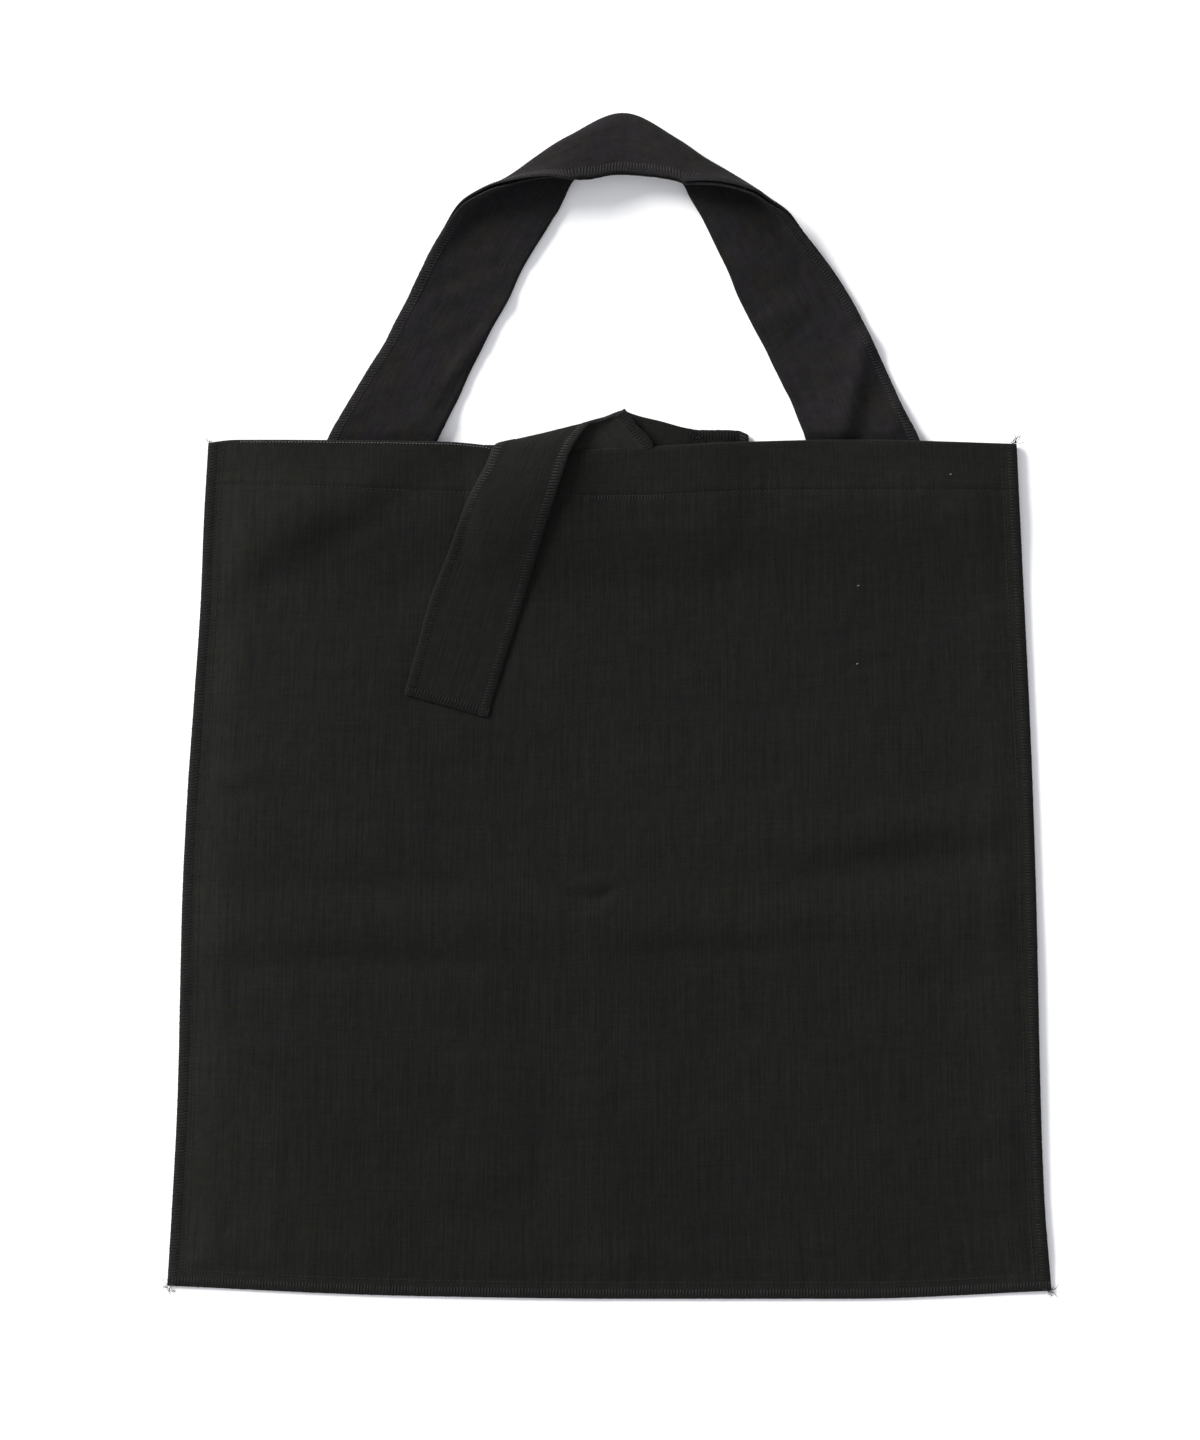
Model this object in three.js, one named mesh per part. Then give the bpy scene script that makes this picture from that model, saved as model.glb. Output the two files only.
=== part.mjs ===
// A large unlined tote bag of one-ply cloth, lying on its back panel with the handles laid out.
// Two panels with hemmed mouths, two strap handles whose crowns are folded over, and two ties.
// Millimetres, +Z up. z = 0 is the surface it lies on, +Y runs from the bottom seam to the handles,
// and the origin lies under the middle of the whole outline.

import * as THREE from 'three';
import { mergeVertices } from 'three/addons/utils/BufferGeometryUtils.js';

// Thickness of one ply, of a strap, and the air between layers.
const PLY = 1.0;
const STRAP = 1.2;
const AIR = 0.3;

// One layer of cloth with its air, and one strap with its air.
const LAYER = PLY + AIR;
const STRAP_LAYER = STRAP + AIR;

// Depth of the turned hem, and the radius at which cloth turns back on itself.
const HEM = 26.5;
const TURN_RADIUS = LAYER / 2;

// How high the middle of each layer lies where nothing is between the panels.
const BACK_HEIGHT = PLY / 2;
const FRONT_HEIGHT = BACK_HEIGHT + LAYER;
const BACK_HEM_TOP = 2 * PLY + AIR;

// Where the middle of the upper strap lies: on the back hem inside the mouth, and on the surface
// outside it, with the under strap below it.
// A little play keeps the under strap from lying below the surface.
const PLAY = 0.02;
const ON_HEM = BACK_HEM_TOP + AIR + STRAP / 2 + STRAP_LAYER;
const AT_REST = STRAP / 2 + STRAP_LAYER + PLAY;

// The panels' side edges, bottom edge and mouth edge.
const SIDES = [
  { y: -325, left: -243.1, right: 243.1 },
  { y: -271, left: -239.9, right: 238.8 },
  { y: -216, left: -237.2, right: 236.7 },
  { y: -106, left: -234.6, right: 234.3 },
  { y: -51, left: -232, right: 232.6 },
  { y: 4, left: -228.2, right: 230.4 },
  { y: 59, left: -224.5, right: 227.7 },
  { y: 103, left: -222.7, right: 225.5 },
  { y: 148, left: -220.1, right: 223.4 },
];
const BOTTOM_EDGE = [
  { x: -243, y: -317.6 },
  { x: -115, y: -323.1 },
  { x: 8, y: -324.8 },
  { x: 132, y: -324.8 },
  { x: 243, y: -320.4 },
];
const FRONT_MOUTH = [
  { x: -221, y: 145.5 },
  { x: -205, y: 147.1 },
  { x: -93, y: 146 },
  { x: -66, y: 143.6 },
  { x: -57, y: 137.4 },
  { x: -30, y: 136.8 },
  { x: -13, y: 141.1 },
  { x: 23, y: 143.3 },
  { x: 76, y: 146 },
  { x: 132, y: 147.1 },
  { x: 224, y: 144.9 },
];
const BACK_MOUTH = [
  { x: -221, y: 144.5 },
  { x: 224, y: 144.2 },
];

// Bands of cells across and along a panel: finer over the straps, the ties and the storage fold.
const FRONT_ACROSS = [
  { from: -232, to: -180, cells: 3 },
  { from: -180, to: -88, cells: 5 },
  { from: -88, to: 56, cells: 9 },
  { from: 56, to: 104, cells: 4 },
  { from: 104, to: 192, cells: 4 },
  { from: 192, to: 232, cells: 2 },
];
const FRONT_ALONG = [
  { from: -321, to: -150, cells: 6 },
  { from: -150, to: -85, cells: 6 },
  { from: -85, to: 60, cells: 6 },
  { from: 60, to: 112, cells: 5 },
  { from: 112, to: 146, cells: 2 },
];
const BACK_ACROSS = [{ from: -232, to: 232, cells: 6 }];
const BACK_ALONG = [
  { from: -321, to: 112, cells: 9 },
  { from: 112, to: 146, cells: 1 },
];
const TURN_CELLS = 4;
const HEM_CELLS = 2;

// What lies between the panels lifts the front one: a flat-topped swelling over each bundle,
// with slopes at its sides and below it.
const BUNDLES = [
  { left: -172, right: -84, bottom: 110, lift: 2 * STRAP_LAYER },
  { left: 98, right: 190, bottom: 110, lift: 2 * STRAP_LAYER },
  { left: -67, right: 54, bottom: 100, lift: 4 * LAYER },
  { left: 50, right: 82, bottom: 99, lift: 2.7 },
];
const BUNDLE_SIDE_SLOPE = 20;
const BUNDLE_LOWER_SLOPE = 30;
const BUNDLE_BLEND = 4;

// The two hems lift the front panel along the whole mouth.
const HEM_LIFT = 2 * LAYER;
const HEM_MARGIN = 4;
const HEM_SLOPE = 20;

// The front panel stands a little off the back one away from the seams, and carries soft
// ridges and troughs: centre, direction in degrees, half length, half width and height.
const LOFT = 1.5;
const LOFT_SLOPE = 30;
const RELIEF = [
  { x: 0, y: -108, turn: 0, long: 260, wide: 8, rise: 1.3 },
  { x: -40, y: -94, turn: 0, long: 150, wide: 7, rise: -0.9 },
  { x: -150, y: -136, turn: 4, long: 90, wide: 9, rise: -1 },
  { x: 162, y: -77, turn: 8, long: 55, wide: 9, rise: -1.4 },
  { x: 180, y: -51, turn: 5, long: 40, wide: 11, rise: 1 },
  { x: -9, y: -99, turn: 0, long: 12, wide: 6, rise: -1.6 },
  { x: -165, y: 86, turn: 30, long: 60, wide: 11, rise: -1.2 },
  { x: 208, y: 58, turn: 10, long: 18, wide: 9, rise: -0.9 },
  { x: -206, y: -251, turn: 90, long: 50, wide: 20, rise: -0.8 },
  { x: -8, y: -213, turn: 90, long: 110, wide: 8, rise: 0.8 },
];

// A handle, from its left end to its right one. out is the outer edge, or the fold where the strap
// is folded over; in is the inner edge; the heights are those of the strap's middle at both.
// flap is the width beyond the fold, curl how far it is turned over in degrees, and roll the width
// that the turn takes.
const HANDLE = [
  { outX: -167.5, outY: 120.5, outZ: ON_HEM, inX: -107, inY: 120.5, inZ: ON_HEM, curl: 0, roll: 4, flap: 8 },
  { outX: -154.8, outY: 147, outZ: ON_HEM, inX: -94.3, inY: 146.6, inZ: ON_HEM, curl: 0, roll: 4, flap: 8 },
  { outX: -153.2, outY: 150.4, outZ: ON_HEM, inX: -92.7, inY: 150, inZ: ON_HEM, curl: 0, roll: 4, flap: 8 },
  { outX: -138, outY: 176, outZ: 2.2, inX: -82, inY: 173, inZ: 2.2, curl: 0, roll: 4, flap: 8 },
  { outX: -118, outY: 210.4, outZ: AT_REST, inX: -69, inY: 199.9, inZ: AT_REST, curl: 0, roll: 4, flap: 8 },
  { outX: -105.9, outY: 235.7, outZ: 2.6, inX: -55.8, inY: 224.1, inZ: AT_REST, curl: 8, roll: 5, flap: 8 },
  { outX: -95, outY: 257, outZ: 3.8, inX: -46.5, inY: 243.5, inZ: 2.3, curl: 26, roll: 6, flap: 8 },
  { outX: -83.2, outY: 276, outZ: 5.4, inX: -38, inY: 258, inZ: 2.6, curl: 52, roll: 7, flap: 8 },
  { outX: -71.2, outY: 283.4, outZ: 6.6, inX: -31.6, inY: 268.1, inZ: 2.8, curl: 78, roll: 7.5, flap: 9 },
  { outX: -60.2, outY: 287.9, outZ: 7, inX: -28.3, inY: 272.5, inZ: 2.8, curl: 98, roll: 7.5, flap: 11 },
  { outX: -40.4, outY: 301.1, outZ: 7, inX: -24.6, inY: 279.8, inZ: 2.6, curl: 132, roll: 7, flap: 17 },
  { outX: -21.2, outY: 312.7, outZ: 6.2, inX: -19.5, inY: 289.6, inZ: 2.4, curl: 154, roll: 6, flap: 24 },
  { outX: 6.9, outY: 324.8, outZ: 5, inX: 6.9, inY: 303, inZ: 2.4, curl: 168, roll: 5, flap: 31 },
  { outX: 36.6, outY: 310.5, outZ: 6.2, inX: 39, inY: 288.6, inZ: 2.4, curl: 154, roll: 6, flap: 23 },
  { outX: 52, outY: 301.1, outZ: 7, inX: 44.4, inY: 280.8, inZ: 2.6, curl: 135, roll: 7, flap: 17 },
  { outX: 67.4, outY: 292.3, outZ: 7, inX: 49.8, inY: 270.9, inZ: 2.8, curl: 112, roll: 7.5, flap: 14 },
  { outX: 88.8, outY: 278.6, outZ: 6.6, inX: 58.6, inY: 252.7, inZ: 2.8, curl: 80, roll: 7.5, flap: 9 },
  { outX: 99.6, outY: 271.2, outZ: 5.4, inX: 64, inY: 241.5, inZ: 2.6, curl: 56, roll: 7, flap: 8 },
  { outX: 107.4, outY: 260.6, outZ: 4, inX: 69.5, inY: 229.5, inZ: 2.4, curl: 32, roll: 6, flap: 8 },
  { outX: 128.4, outY: 231.8, outZ: 2.6, inX: 83.9, inY: 200.5, inZ: AT_REST, curl: 8, roll: 4, flap: 8 },
  { outX: 142.2, outY: 206, outZ: AT_REST, inX: 92.7, inY: 184, inZ: AT_REST, curl: 0, roll: 4, flap: 8 },
  { outX: 157, outY: 174, outZ: 2.2, inX: 99.5, inY: 169, inZ: 2.2, curl: 0, roll: 4, flap: 8 },
  { outX: 168, outY: 150.4, outZ: ON_HEM, inX: 107.5, inY: 150.4, inZ: ON_HEM, curl: 0, roll: 4, flap: 8 },
  { outX: 169.7, outY: 147, outZ: ON_HEM, inX: 108.6, inY: 146.6, inZ: ON_HEM, curl: 0, roll: 4, flap: 8 },
  { outX: 181.2, outY: 120.5, outZ: ON_HEM, inX: 120.7, inY: 120.5, inZ: ON_HEM, curl: 0, roll: 4, flap: 8 },
];
const HANDLE_SPACING = 8.5;
const BODY_CELLS = 2;
const ROLL_CELLS = 3;
const FLAP_CELLS = 2;

// A flat section still gets this curl in degrees, so that its turn has a radius.
const LEAST_CURL = 0.05;

// Where the crown is turned over the nested strap stands this much further off for each radian,
// and it has slipped outward by this share of what the longer turn takes.
const NEST_EASE = 0.42;
const NEST_SLIP = 0.75;

// A tie, from where it is sewn to its free end: both long edges, and how far its middle bulges.
// The front tie's heights are over the front panel's middle: it lies under the front hem, turns
// over the mouth's edge and comes down on the panel.
const UNDER_HEM = -2 * LAYER;
const ON_PANEL = LAYER;
const TIE_FRONT = [
  { leftX: -14.5, leftY: 114.5, leftZ: UNDER_HEM, rightX: 30, rightY: 114.5, rightZ: UNDER_HEM, belly: 0 },
  { leftX: -15.5, leftY: 117.5, leftZ: UNDER_HEM, rightX: 27.5, rightY: 131, rightZ: UNDER_HEM, belly: 0 },
  { leftX: -17, leftY: 120.5, leftZ: UNDER_HEM, rightX: 22.6, rightY: 146, rightZ: UNDER_HEM, belly: 0 },
  { leftX: -29, leftY: 130, leftZ: UNDER_HEM, rightX: 7.5, rightY: 162.3, rightZ: -2, belly: 0.3 },
  { leftX: -38.5, leftY: 134.5, leftZ: -2.6, rightX: -1, rightY: 160.8, rightZ: 2.8, belly: 0.8 },
  { leftX: -48, leftY: 143.2, leftZ: -2.4, rightX: -10.5, rightY: 157, rightZ: 8.2, belly: 3 },
  { leftX: -56.5, leftY: 145.8, leftZ: -0.6, rightX: -17, rightY: 149, rightZ: 8.8, belly: 3 },
  { leftX: -62, leftY: 144.8, leftZ: 2.4, rightX: -23, rightY: 140.3, rightZ: 7.6, belly: 2.6 },
  { leftX: -67.5, leftY: 133, leftZ: 3.6, rightX: -27.2, rightY: 130, rightZ: 6.2, belly: 2.2 },
  { leftX: -77.8, leftY: 113.6, leftZ: 3.4, rightX: -34.6, rightY: 111, rightZ: 4.4, belly: 1.8 },
  { leftX: -88.3, leftY: 85, leftZ: 2.6, rightX: -43.2, rightY: 79.5, rightZ: 3.2, belly: 1.2 },
  { leftX: -98.2, leftY: 59.7, leftZ: 1.9, rightX: -51.5, rightY: 51, rightZ: 2.2, belly: 0.8 },
  { leftX: -106.4, leftY: 29.4, leftZ: 1.5, rightX: -61, rightY: 20.5, rightZ: 1.6, belly: 0.4 },
  { leftX: -112.5, leftY: 7.4, leftZ: ON_PANEL, rightX: -67.4, rightY: -5.2, rightZ: ON_PANEL, belly: 0.2 },
];

// The back tie's heights are over the surface: it rises on the back hem, turns flat over to the
// right at its own slanting fold, and ends inside the mouth.
const TIE_LOW = BACK_HEM_TOP + AIR + PLY / 2;
const TIE_MID = TIE_LOW + LAYER;
const TIE_HIGH = TIE_LOW + 2 * LAYER;
const TIE_BACK = [
  { leftX: -35, leftY: 114, leftZ: TIE_LOW, rightX: 9, rightY: 114, rightZ: TIE_LOW, belly: 0 },
  { leftX: -35, leftY: 130, leftZ: TIE_LOW, rightX: 9, rightY: 162.6, rightZ: TIE_LOW, belly: 0 },
  { leftX: -35.6, leftY: 130.9, leftZ: 3.5, rightX: 8.5, rightY: 163.6, rightZ: 3.5, belly: 0 },
  { leftX: -35.8, leftY: 131.2, leftZ: TIE_MID, rightX: 8.3, rightY: 163.9, rightZ: TIE_MID, belly: 0 },
  { leftX: -35.4, leftY: 130.8, leftZ: 5.3, rightX: 8.6, rightY: 163.5, rightZ: 5.3, belly: 0 },
  { leftX: -34.4, leftY: 129.8, leftZ: TIE_HIGH, rightX: 9.6, rightY: 162.3, rightZ: TIE_HIGH, belly: 0 },
  { leftX: 17.1, leftY: 114.4, leftZ: TIE_HIGH, rightX: 30, rightY: 156.5, rightZ: TIE_HIGH, belly: 0 },
  { leftX: 34, leftY: 109, leftZ: TIE_HIGH, rightX: 44.5, rightY: 151.6, rightZ: TIE_HIGH, belly: 0 },
  { leftX: 48, leftY: 107, leftZ: TIE_MID, rightX: 50, rightY: 151.4, rightZ: TIE_MID, belly: 0 },
  { leftX: 60, leftY: 105.5, leftZ: TIE_MID, rightX: 64, rightY: 150.8, rightZ: TIE_MID, belly: 0 },
  { leftX: 76, leftY: 105, leftZ: TIE_LOW, rightX: 74.5, rightY: 149.8, rightZ: TIE_LOW, belly: 0 },
];
const TIE_SPACING = 11;
const TIE_CELLS = 5;

// A tie's height changes across it like this power of the distance from its left edge.
const TIE_EASE = 1.5;

const COLOURS = { panel: 0x222220, strap: 0x252523, tie: 0x242422 };
const DEGREE = Math.PI / 180;

// A smooth step from 0 to 1 as a value goes from one limit to the other.
function ramp(value, from, to) {
  return THREE.MathUtils.smoothstep(value, from, to);
}

// The slope of a curve at each station: level at a peak or a dip, so it never overshoots a row.
function levelSlopes(stations, values) {
  const steps = values.slice(1).map((value, k) => (value - values[k]) / (stations[k + 1] - stations[k]));
  return values.map((value, k) => {
    const before = steps[Math.max(k - 1, 0)];
    const after = steps[Math.min(k, steps.length - 1)];
    return before * after > 0 ? 2 * before * after / (before + after) : 0;
  });
}

// One column of a table as a smooth curve over rising stations.
function smoothColumn(rows, column, stations) {
  const values = rows.map((row) => row[column]);
  const slopes = levelSlopes(stations, values);
  const last = stations.length - 1;
  return (at) => {
    const place = THREE.MathUtils.clamp(at, stations[0], stations[last]);
    const k = Math.max(stations.findIndex((station) => station >= place), 1) - 1;
    const width = stations[k + 1] - stations[k];
    const share = (place - stations[k]) / width;
    const step = ramp(share, 0, 1);
    const leaving = width * slopes[k] * share * (1 - share) ** 2;
    const arriving = width * slopes[k + 1] * share * share * (share - 1);
    return THREE.MathUtils.lerp(values[k], values[k + 1], step) + leaving + arriving;
  };
}

// One column of a table as a smooth curve over another column.
function columnOver(rows, column, along) {
  return smoothColumn(rows, column, rows.map((row) => row[along]));
}

// The stations of a row of bands, each cut into its cells.
function bandStations(bands) {
  const stations = [bands[0].from];
  for (const band of bands) {
    for (let k = 1; k <= band.cells; k += 1) {
      stations.push(THREE.MathUtils.lerp(band.from, band.to, k / band.cells));
    }
  }
  return stations;
}

// The value of a list of stations at a place between two of them.
function stationAt(stations, place) {
  const k = Math.min(Math.floor(place), stations.length - 2);
  return THREE.MathUtils.lerp(stations[k], stations[k + 1], place - k);
}

// The direction in which a surface faces at a place on its grid.
function facing(surface, across, along, a, s) {
  const reach = 0.4;
  const onA = surface(Math.min(a + reach, across), s).sub(surface(Math.max(a - reach, 0), s));
  const onS = surface(a, Math.min(s + reach, along)).sub(surface(a, Math.max(s - reach, 0)));
  return onA.cross(onS).normalize();
}

// A closed sheet: a slab of cells laid half its thickness each side of a surface, or of one
// offset from it.
function sheetGeometry(across, along, thickness, surface, offset = () => 0) {
  const slab = new THREE.BoxGeometry(across, along, 1, across, along, 1);
  const position = slab.attributes.position;
  for (let k = 0; k < position.count; k += 1) {
    const a = Math.round(position.getX(k) + across / 2);
    const s = Math.round(position.getY(k) + along / 2);
    const side = Math.sign(position.getZ(k)) * thickness / 2 + offset(s);
    const spot = surface(a, s).addScaledVector(facing(surface, across, along, a, s), side);
    position.setXYZ(k, spot.x, spot.y, spot.z);
  }
  slab.deleteAttribute('normal');
  slab.deleteAttribute('uv');
  slab.clearGroups();
  const sheet = mergeVertices(slab);
  sheet.computeVertexNormals();
  return sheet;
}

function clothMesh(name, geometry, colour) {
  const material = new THREE.MeshStandardMaterial({ color: colour, roughness: 0.9, metalness: 0 });
  const mesh = new THREE.Mesh(geometry, material);
  mesh.name = name;
  return mesh;
}

// How far one bundle between the panels lifts the front one.
function bundleLift(bundle, x, y) {
  const rising = ramp(x, bundle.left - BUNDLE_SIDE_SLOPE, bundle.left);
  const falling = 1 - ramp(x, bundle.right, bundle.right + BUNDLE_SIDE_SLOPE);
  return bundle.lift * rising * falling * ramp(y, bundle.bottom - BUNDLE_LOWER_SLOPE, bundle.bottom);
}

// All bundles together, blended where their slopes meet.
function bundlesLift(x, y) {
  const sum = BUNDLES.reduce((total, row) => total + bundleLift(row, x, y) ** BUNDLE_BLEND, 0);
  return sum ** (1 / BUNDLE_BLEND);
}

// One soft ridge or trough.
function reliefRise(row, x, y) {
  const turn = row.turn * DEGREE;
  const along = (x - row.x) * Math.cos(turn) + (y - row.y) * Math.sin(turn);
  const aside = (y - row.y) * Math.cos(turn) - (x - row.x) * Math.sin(turn);
  return row.rise * Math.exp(-((along / row.long) ** 2) - (aside / row.wide) ** 2);
}

const leftSide = columnOver(SIDES, 'left', 'y');
const rightSide = columnOver(SIDES, 'right', 'y');
const bottomEdge = columnOver(BOTTOM_EDGE, 'y', 'x');
const frontMouth = columnOver(FRONT_MOUTH, 'y', 'x');
const backMouth = columnOver(BACK_MOUTH, 'y', 'x');

// Height of the front panel's middle over the surface.
function frontHeight(x, y) {
  const hemFoot = frontMouth(x) - HEM - HEM_MARGIN;
  const fromSide = Math.min(x - leftSide(y), rightSide(y) - x);
  const free = ramp(fromSide, 0, LOFT_SLOPE)
    * ramp(y, bottomEdge(x), bottomEdge(x) + LOFT_SLOPE)
    * (1 - ramp(y, hemFoot - HEM_SLOPE, hemFoot));
  const relief = RELIEF.reduce((total, row) => total + reliefRise(row, x, y), LOFT);
  const hem = HEM_LIFT * ramp(y, hemFoot - HEM_SLOPE, hemFoot);
  return FRONT_HEIGHT + hem + bundlesLift(x, y) + free * Math.max(relief, 0);
}

function backHeight() {
  return BACK_HEIGHT;
}

// A panel from its bottom edge to its mouth, then round the mouth's fold and back as the hem.
// fold is -1 where the hem lies under the panel and 1 where it lies on it.
function panelGeometry(acrossBands, alongBands, mouth, height, fold) {
  const acrossStations = bandStations(acrossBands);
  const alongStations = bandStations(alongBands);
  const across = acrossStations.length - 1;
  const body = alongStations.length - 1;
  const bottomY = alongStations[0];
  const topY = alongStations[body];
  const halfWidth = acrossStations[across];
  const inset = TURN_RADIUS + PLY / 2;

  function bodyPoint(a, s) {
    const nominal = stationAt(alongStations, s);
    const share = (stationAt(acrossStations, a) + halfWidth) / (2 * halfWidth);
    const x = THREE.MathUtils.lerp(leftSide(nominal), rightSide(nominal), share);
    const rise = (nominal - bottomY) / (topY - bottomY);
    const y = THREE.MathUtils.lerp(bottomEdge(x), mouth(x) - inset, rise);
    return new THREE.Vector3(x, y, height(x, y));
  }

  function surface(a, s) {
    const spot = bodyPoint(a, Math.min(s, body));
    if (s <= body) {
      return spot;
    }
    const turned = Math.min((s - body) / TURN_CELLS, 1) * Math.PI;
    const hemPart = Math.max(s - body - TURN_CELLS, 0) / HEM_CELLS;
    const y = spot.y + TURN_RADIUS * Math.sin(turned) - hemPart * (HEM - inset);
    const aside = fold * TURN_RADIUS * (1 - Math.cos(turned));
    return new THREE.Vector3(spot.x, y, height(spot.x, Math.min(y, spot.y)) + aside);
  }

  return sheetGeometry(across, body + TURN_CELLS + HEM_CELLS, PLY, surface);
}

// Distances along a table's rows, measured between the middles of the two edges.
function rowDistances(rows, middle) {
  const distances = [0];
  for (let k = 1; k < rows.length; k += 1) {
    distances.push(distances[k - 1] + middle(rows[k - 1]).distanceTo(middle(rows[k])));
  }
  return distances;
}

// Stations that keep every row and cut the longer stretches into equal steps.
function stretchStations(distances, spacing) {
  const bands = [];
  for (let k = 1; k < distances.length; k += 1) {
    const length = distances[k] - distances[k - 1];
    const cells = Math.max(Math.round(length / spacing), 1);
    bands.push({ from: distances[k - 1], to: distances[k], cells });
  }
  return bandStations(bands);
}

function readers(rows, distances) {
  const columns = {};
  for (const column of Object.keys(rows[0])) {
    columns[column] = smoothColumn(rows, column, distances);
  }
  return columns;
}

// How far the folded section reaches outward from where its turn starts.
function foldReach(turn, roll, flap) {
  if (turn < Math.PI / 2) {
    return roll * Math.sin(turn) / turn + flap * Math.cos(turn);
  }
  return roll / turn;
}

// A point of the section: how far out and up it lies from where the turn starts.
function sectionPoint(body, turn, roll, onBody, inRoll, onFlap) {
  const angle = turn * inRoll;
  const out = body * (onBody - 1) + roll / turn * Math.sin(angle) + onFlap * Math.cos(angle);
  const up = roll / turn * (1 - Math.cos(angle)) + onFlap * Math.sin(angle);
  return { out, up };
}

// How far the nested strap lies from the other, measured between their middles.
function nestDepth(turn) {
  return STRAP_LAYER * (1 + NEST_EASE * turn);
}

// A handle: its section carried along the table's rows. The nested one lies under and round the
// other, which takes that much more of its width to turn.
function handleGeometry(nested) {
  const middle = (row) => new THREE.Vector3(row.outX + row.inX, row.outY + row.inY, 0).multiplyScalar(0.5);
  const distances = rowDistances(HANDLE, middle);
  const stations = stretchStations(distances, HANDLE_SPACING);
  const read = readers(HANDLE, distances);
  const across = BODY_CELLS + ROLL_CELLS + FLAP_CELLS;
  const cover = STRAP_LAYER + STRAP / 2;
  const turnAt = (at) => Math.max(read.curl(at), LEAST_CURL) * DEGREE;

  function surface(a, s) {
    const cell = across - a;
    const at = stationAt(stations, s);
    const outer = new THREE.Vector3(read.outX(at), read.outY(at), Math.max(read.outZ(at), AT_REST));
    const turn = turnAt(at);
    const rest = STRAP / 2 + nestDepth(turn);
    const inner = new THREE.Vector3(read.inX(at), read.inY(at), Math.max(read.inZ(at), rest));
    const roll = read.roll(at);
    const flap = read.flap(at);
    const outward = outer.clone().sub(inner).normalize();
    const sideways = new THREE.Vector3(-outward.y, outward.x, 0).normalize();
    const upward = outward.clone().cross(sideways);
    const fold = foldReach(turn, roll, flap) + cover * Math.sin(Math.min(turn, Math.PI / 2));
    const hinge = outer.clone().addScaledVector(outward, -fold);
    const onBody = Math.min(cell / BODY_CELLS, 1);
    const inRoll = THREE.MathUtils.clamp((cell - BODY_CELLS) / ROLL_CELLS, 0, 1);
    const flapShare = Math.max(cell - BODY_CELLS - ROLL_CELLS, 0) / FLAP_CELLS;
    const taken = nested ? nestDepth(turn) * turn : 0;
    const slip = taken * NEST_SLIP;
    const onFlap = (flap - taken + slip) * flapShare;
    const point = sectionPoint(hinge.distanceTo(inner) - slip, turn, roll, onBody, inRoll, onFlap);
    return hinge.addScaledVector(outward, point.out).addScaledVector(upward, point.up);
  }

  const nestedOffset = (s) => -nestDepth(turnAt(stationAt(stations, s)));
  return sheetGeometry(across, stations.length - 1, STRAP, surface, nested ? nestedOffset : undefined);
}

// A tie: a ribbon between its two long edges, with its middle bulged to the side it faces.
function tieGeometry(rows, ground) {
  const middle = (row) => new THREE.Vector3(
    row.leftX + row.rightX,
    row.leftY + row.rightY,
    row.leftZ + row.rightZ,
  ).multiplyScalar(0.5);
  const distances = rowDistances(rows, middle);
  const stations = stretchStations(distances, TIE_SPACING);
  const read = readers(rows, distances);

  function flat(a, s) {
    const at = stationAt(stations, s);
    const left = new THREE.Vector3(read.leftX(at), read.leftY(at), read.leftZ(at));
    const right = new THREE.Vector3(read.rightX(at), read.rightY(at), read.rightZ(at));
    const share = a / TIE_CELLS;
    const spot = left.clone().lerp(right, share);
    spot.z = THREE.MathUtils.lerp(left.z, right.z, share ** TIE_EASE);
    return spot;
  }

  function surface(a, s) {
    const share = a / TIE_CELLS;
    const bulge = Math.max(read.belly(stationAt(stations, s)), 0) * 4 * share * (1 - share);
    const outward = facing(flat, TIE_CELLS, stations.length - 1, a, s);
    const spot = flat(a, s).addScaledVector(outward, -bulge);
    spot.z += ground(spot.x, spot.y);
    return spot;
  }

  return sheetGeometry(TIE_CELLS, stations.length - 1, PLY, surface);
}

const bag = new THREE.Group();

const backPanel = panelGeometry(BACK_ACROSS, BACK_ALONG, backMouth, backHeight, 1);
const frontPanel = panelGeometry(FRONT_ACROSS, FRONT_ALONG, frontMouth, frontHeight, -1);
bag.add(clothMesh('back_panel', backPanel, COLOURS.panel));
bag.add(clothMesh('front_panel', frontPanel, COLOURS.panel));
bag.add(clothMesh('handle_back', handleGeometry(true), COLOURS.strap));
bag.add(clothMesh('handle_front', handleGeometry(false), COLOURS.strap));
bag.add(clothMesh('tie_back', tieGeometry(TIE_BACK, () => 0), COLOURS.tie));
bag.add(clothMesh('tie_front', tieGeometry(TIE_FRONT, frontHeight), COLOURS.tie));

export default bag;
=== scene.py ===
"""A large unlined tote bag in near-black plain weave, lying flat with its handles laid out.

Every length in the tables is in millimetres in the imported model's frame: z = 0 is the surface it
lies on, +Y runs from the bottom seam to the handles. Meshes are made in metres.
"""

import math

import bpy
import numpy as np
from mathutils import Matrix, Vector


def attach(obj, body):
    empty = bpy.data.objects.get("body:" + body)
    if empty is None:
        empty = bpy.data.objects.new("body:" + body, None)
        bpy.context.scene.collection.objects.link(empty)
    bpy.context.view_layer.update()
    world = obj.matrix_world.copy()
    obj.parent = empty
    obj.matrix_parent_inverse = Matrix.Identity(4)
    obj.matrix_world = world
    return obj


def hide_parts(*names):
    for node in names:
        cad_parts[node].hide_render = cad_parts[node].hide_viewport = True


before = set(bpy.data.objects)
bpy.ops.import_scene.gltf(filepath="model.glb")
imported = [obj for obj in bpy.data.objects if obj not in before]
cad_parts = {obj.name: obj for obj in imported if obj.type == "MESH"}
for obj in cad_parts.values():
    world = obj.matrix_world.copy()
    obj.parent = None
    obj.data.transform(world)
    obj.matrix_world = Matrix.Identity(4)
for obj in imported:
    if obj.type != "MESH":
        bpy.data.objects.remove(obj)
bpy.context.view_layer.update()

MM = 0.001
DEGREE = math.pi / 180
random = np.random.default_rng(11)
scene = bpy.context.scene

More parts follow.
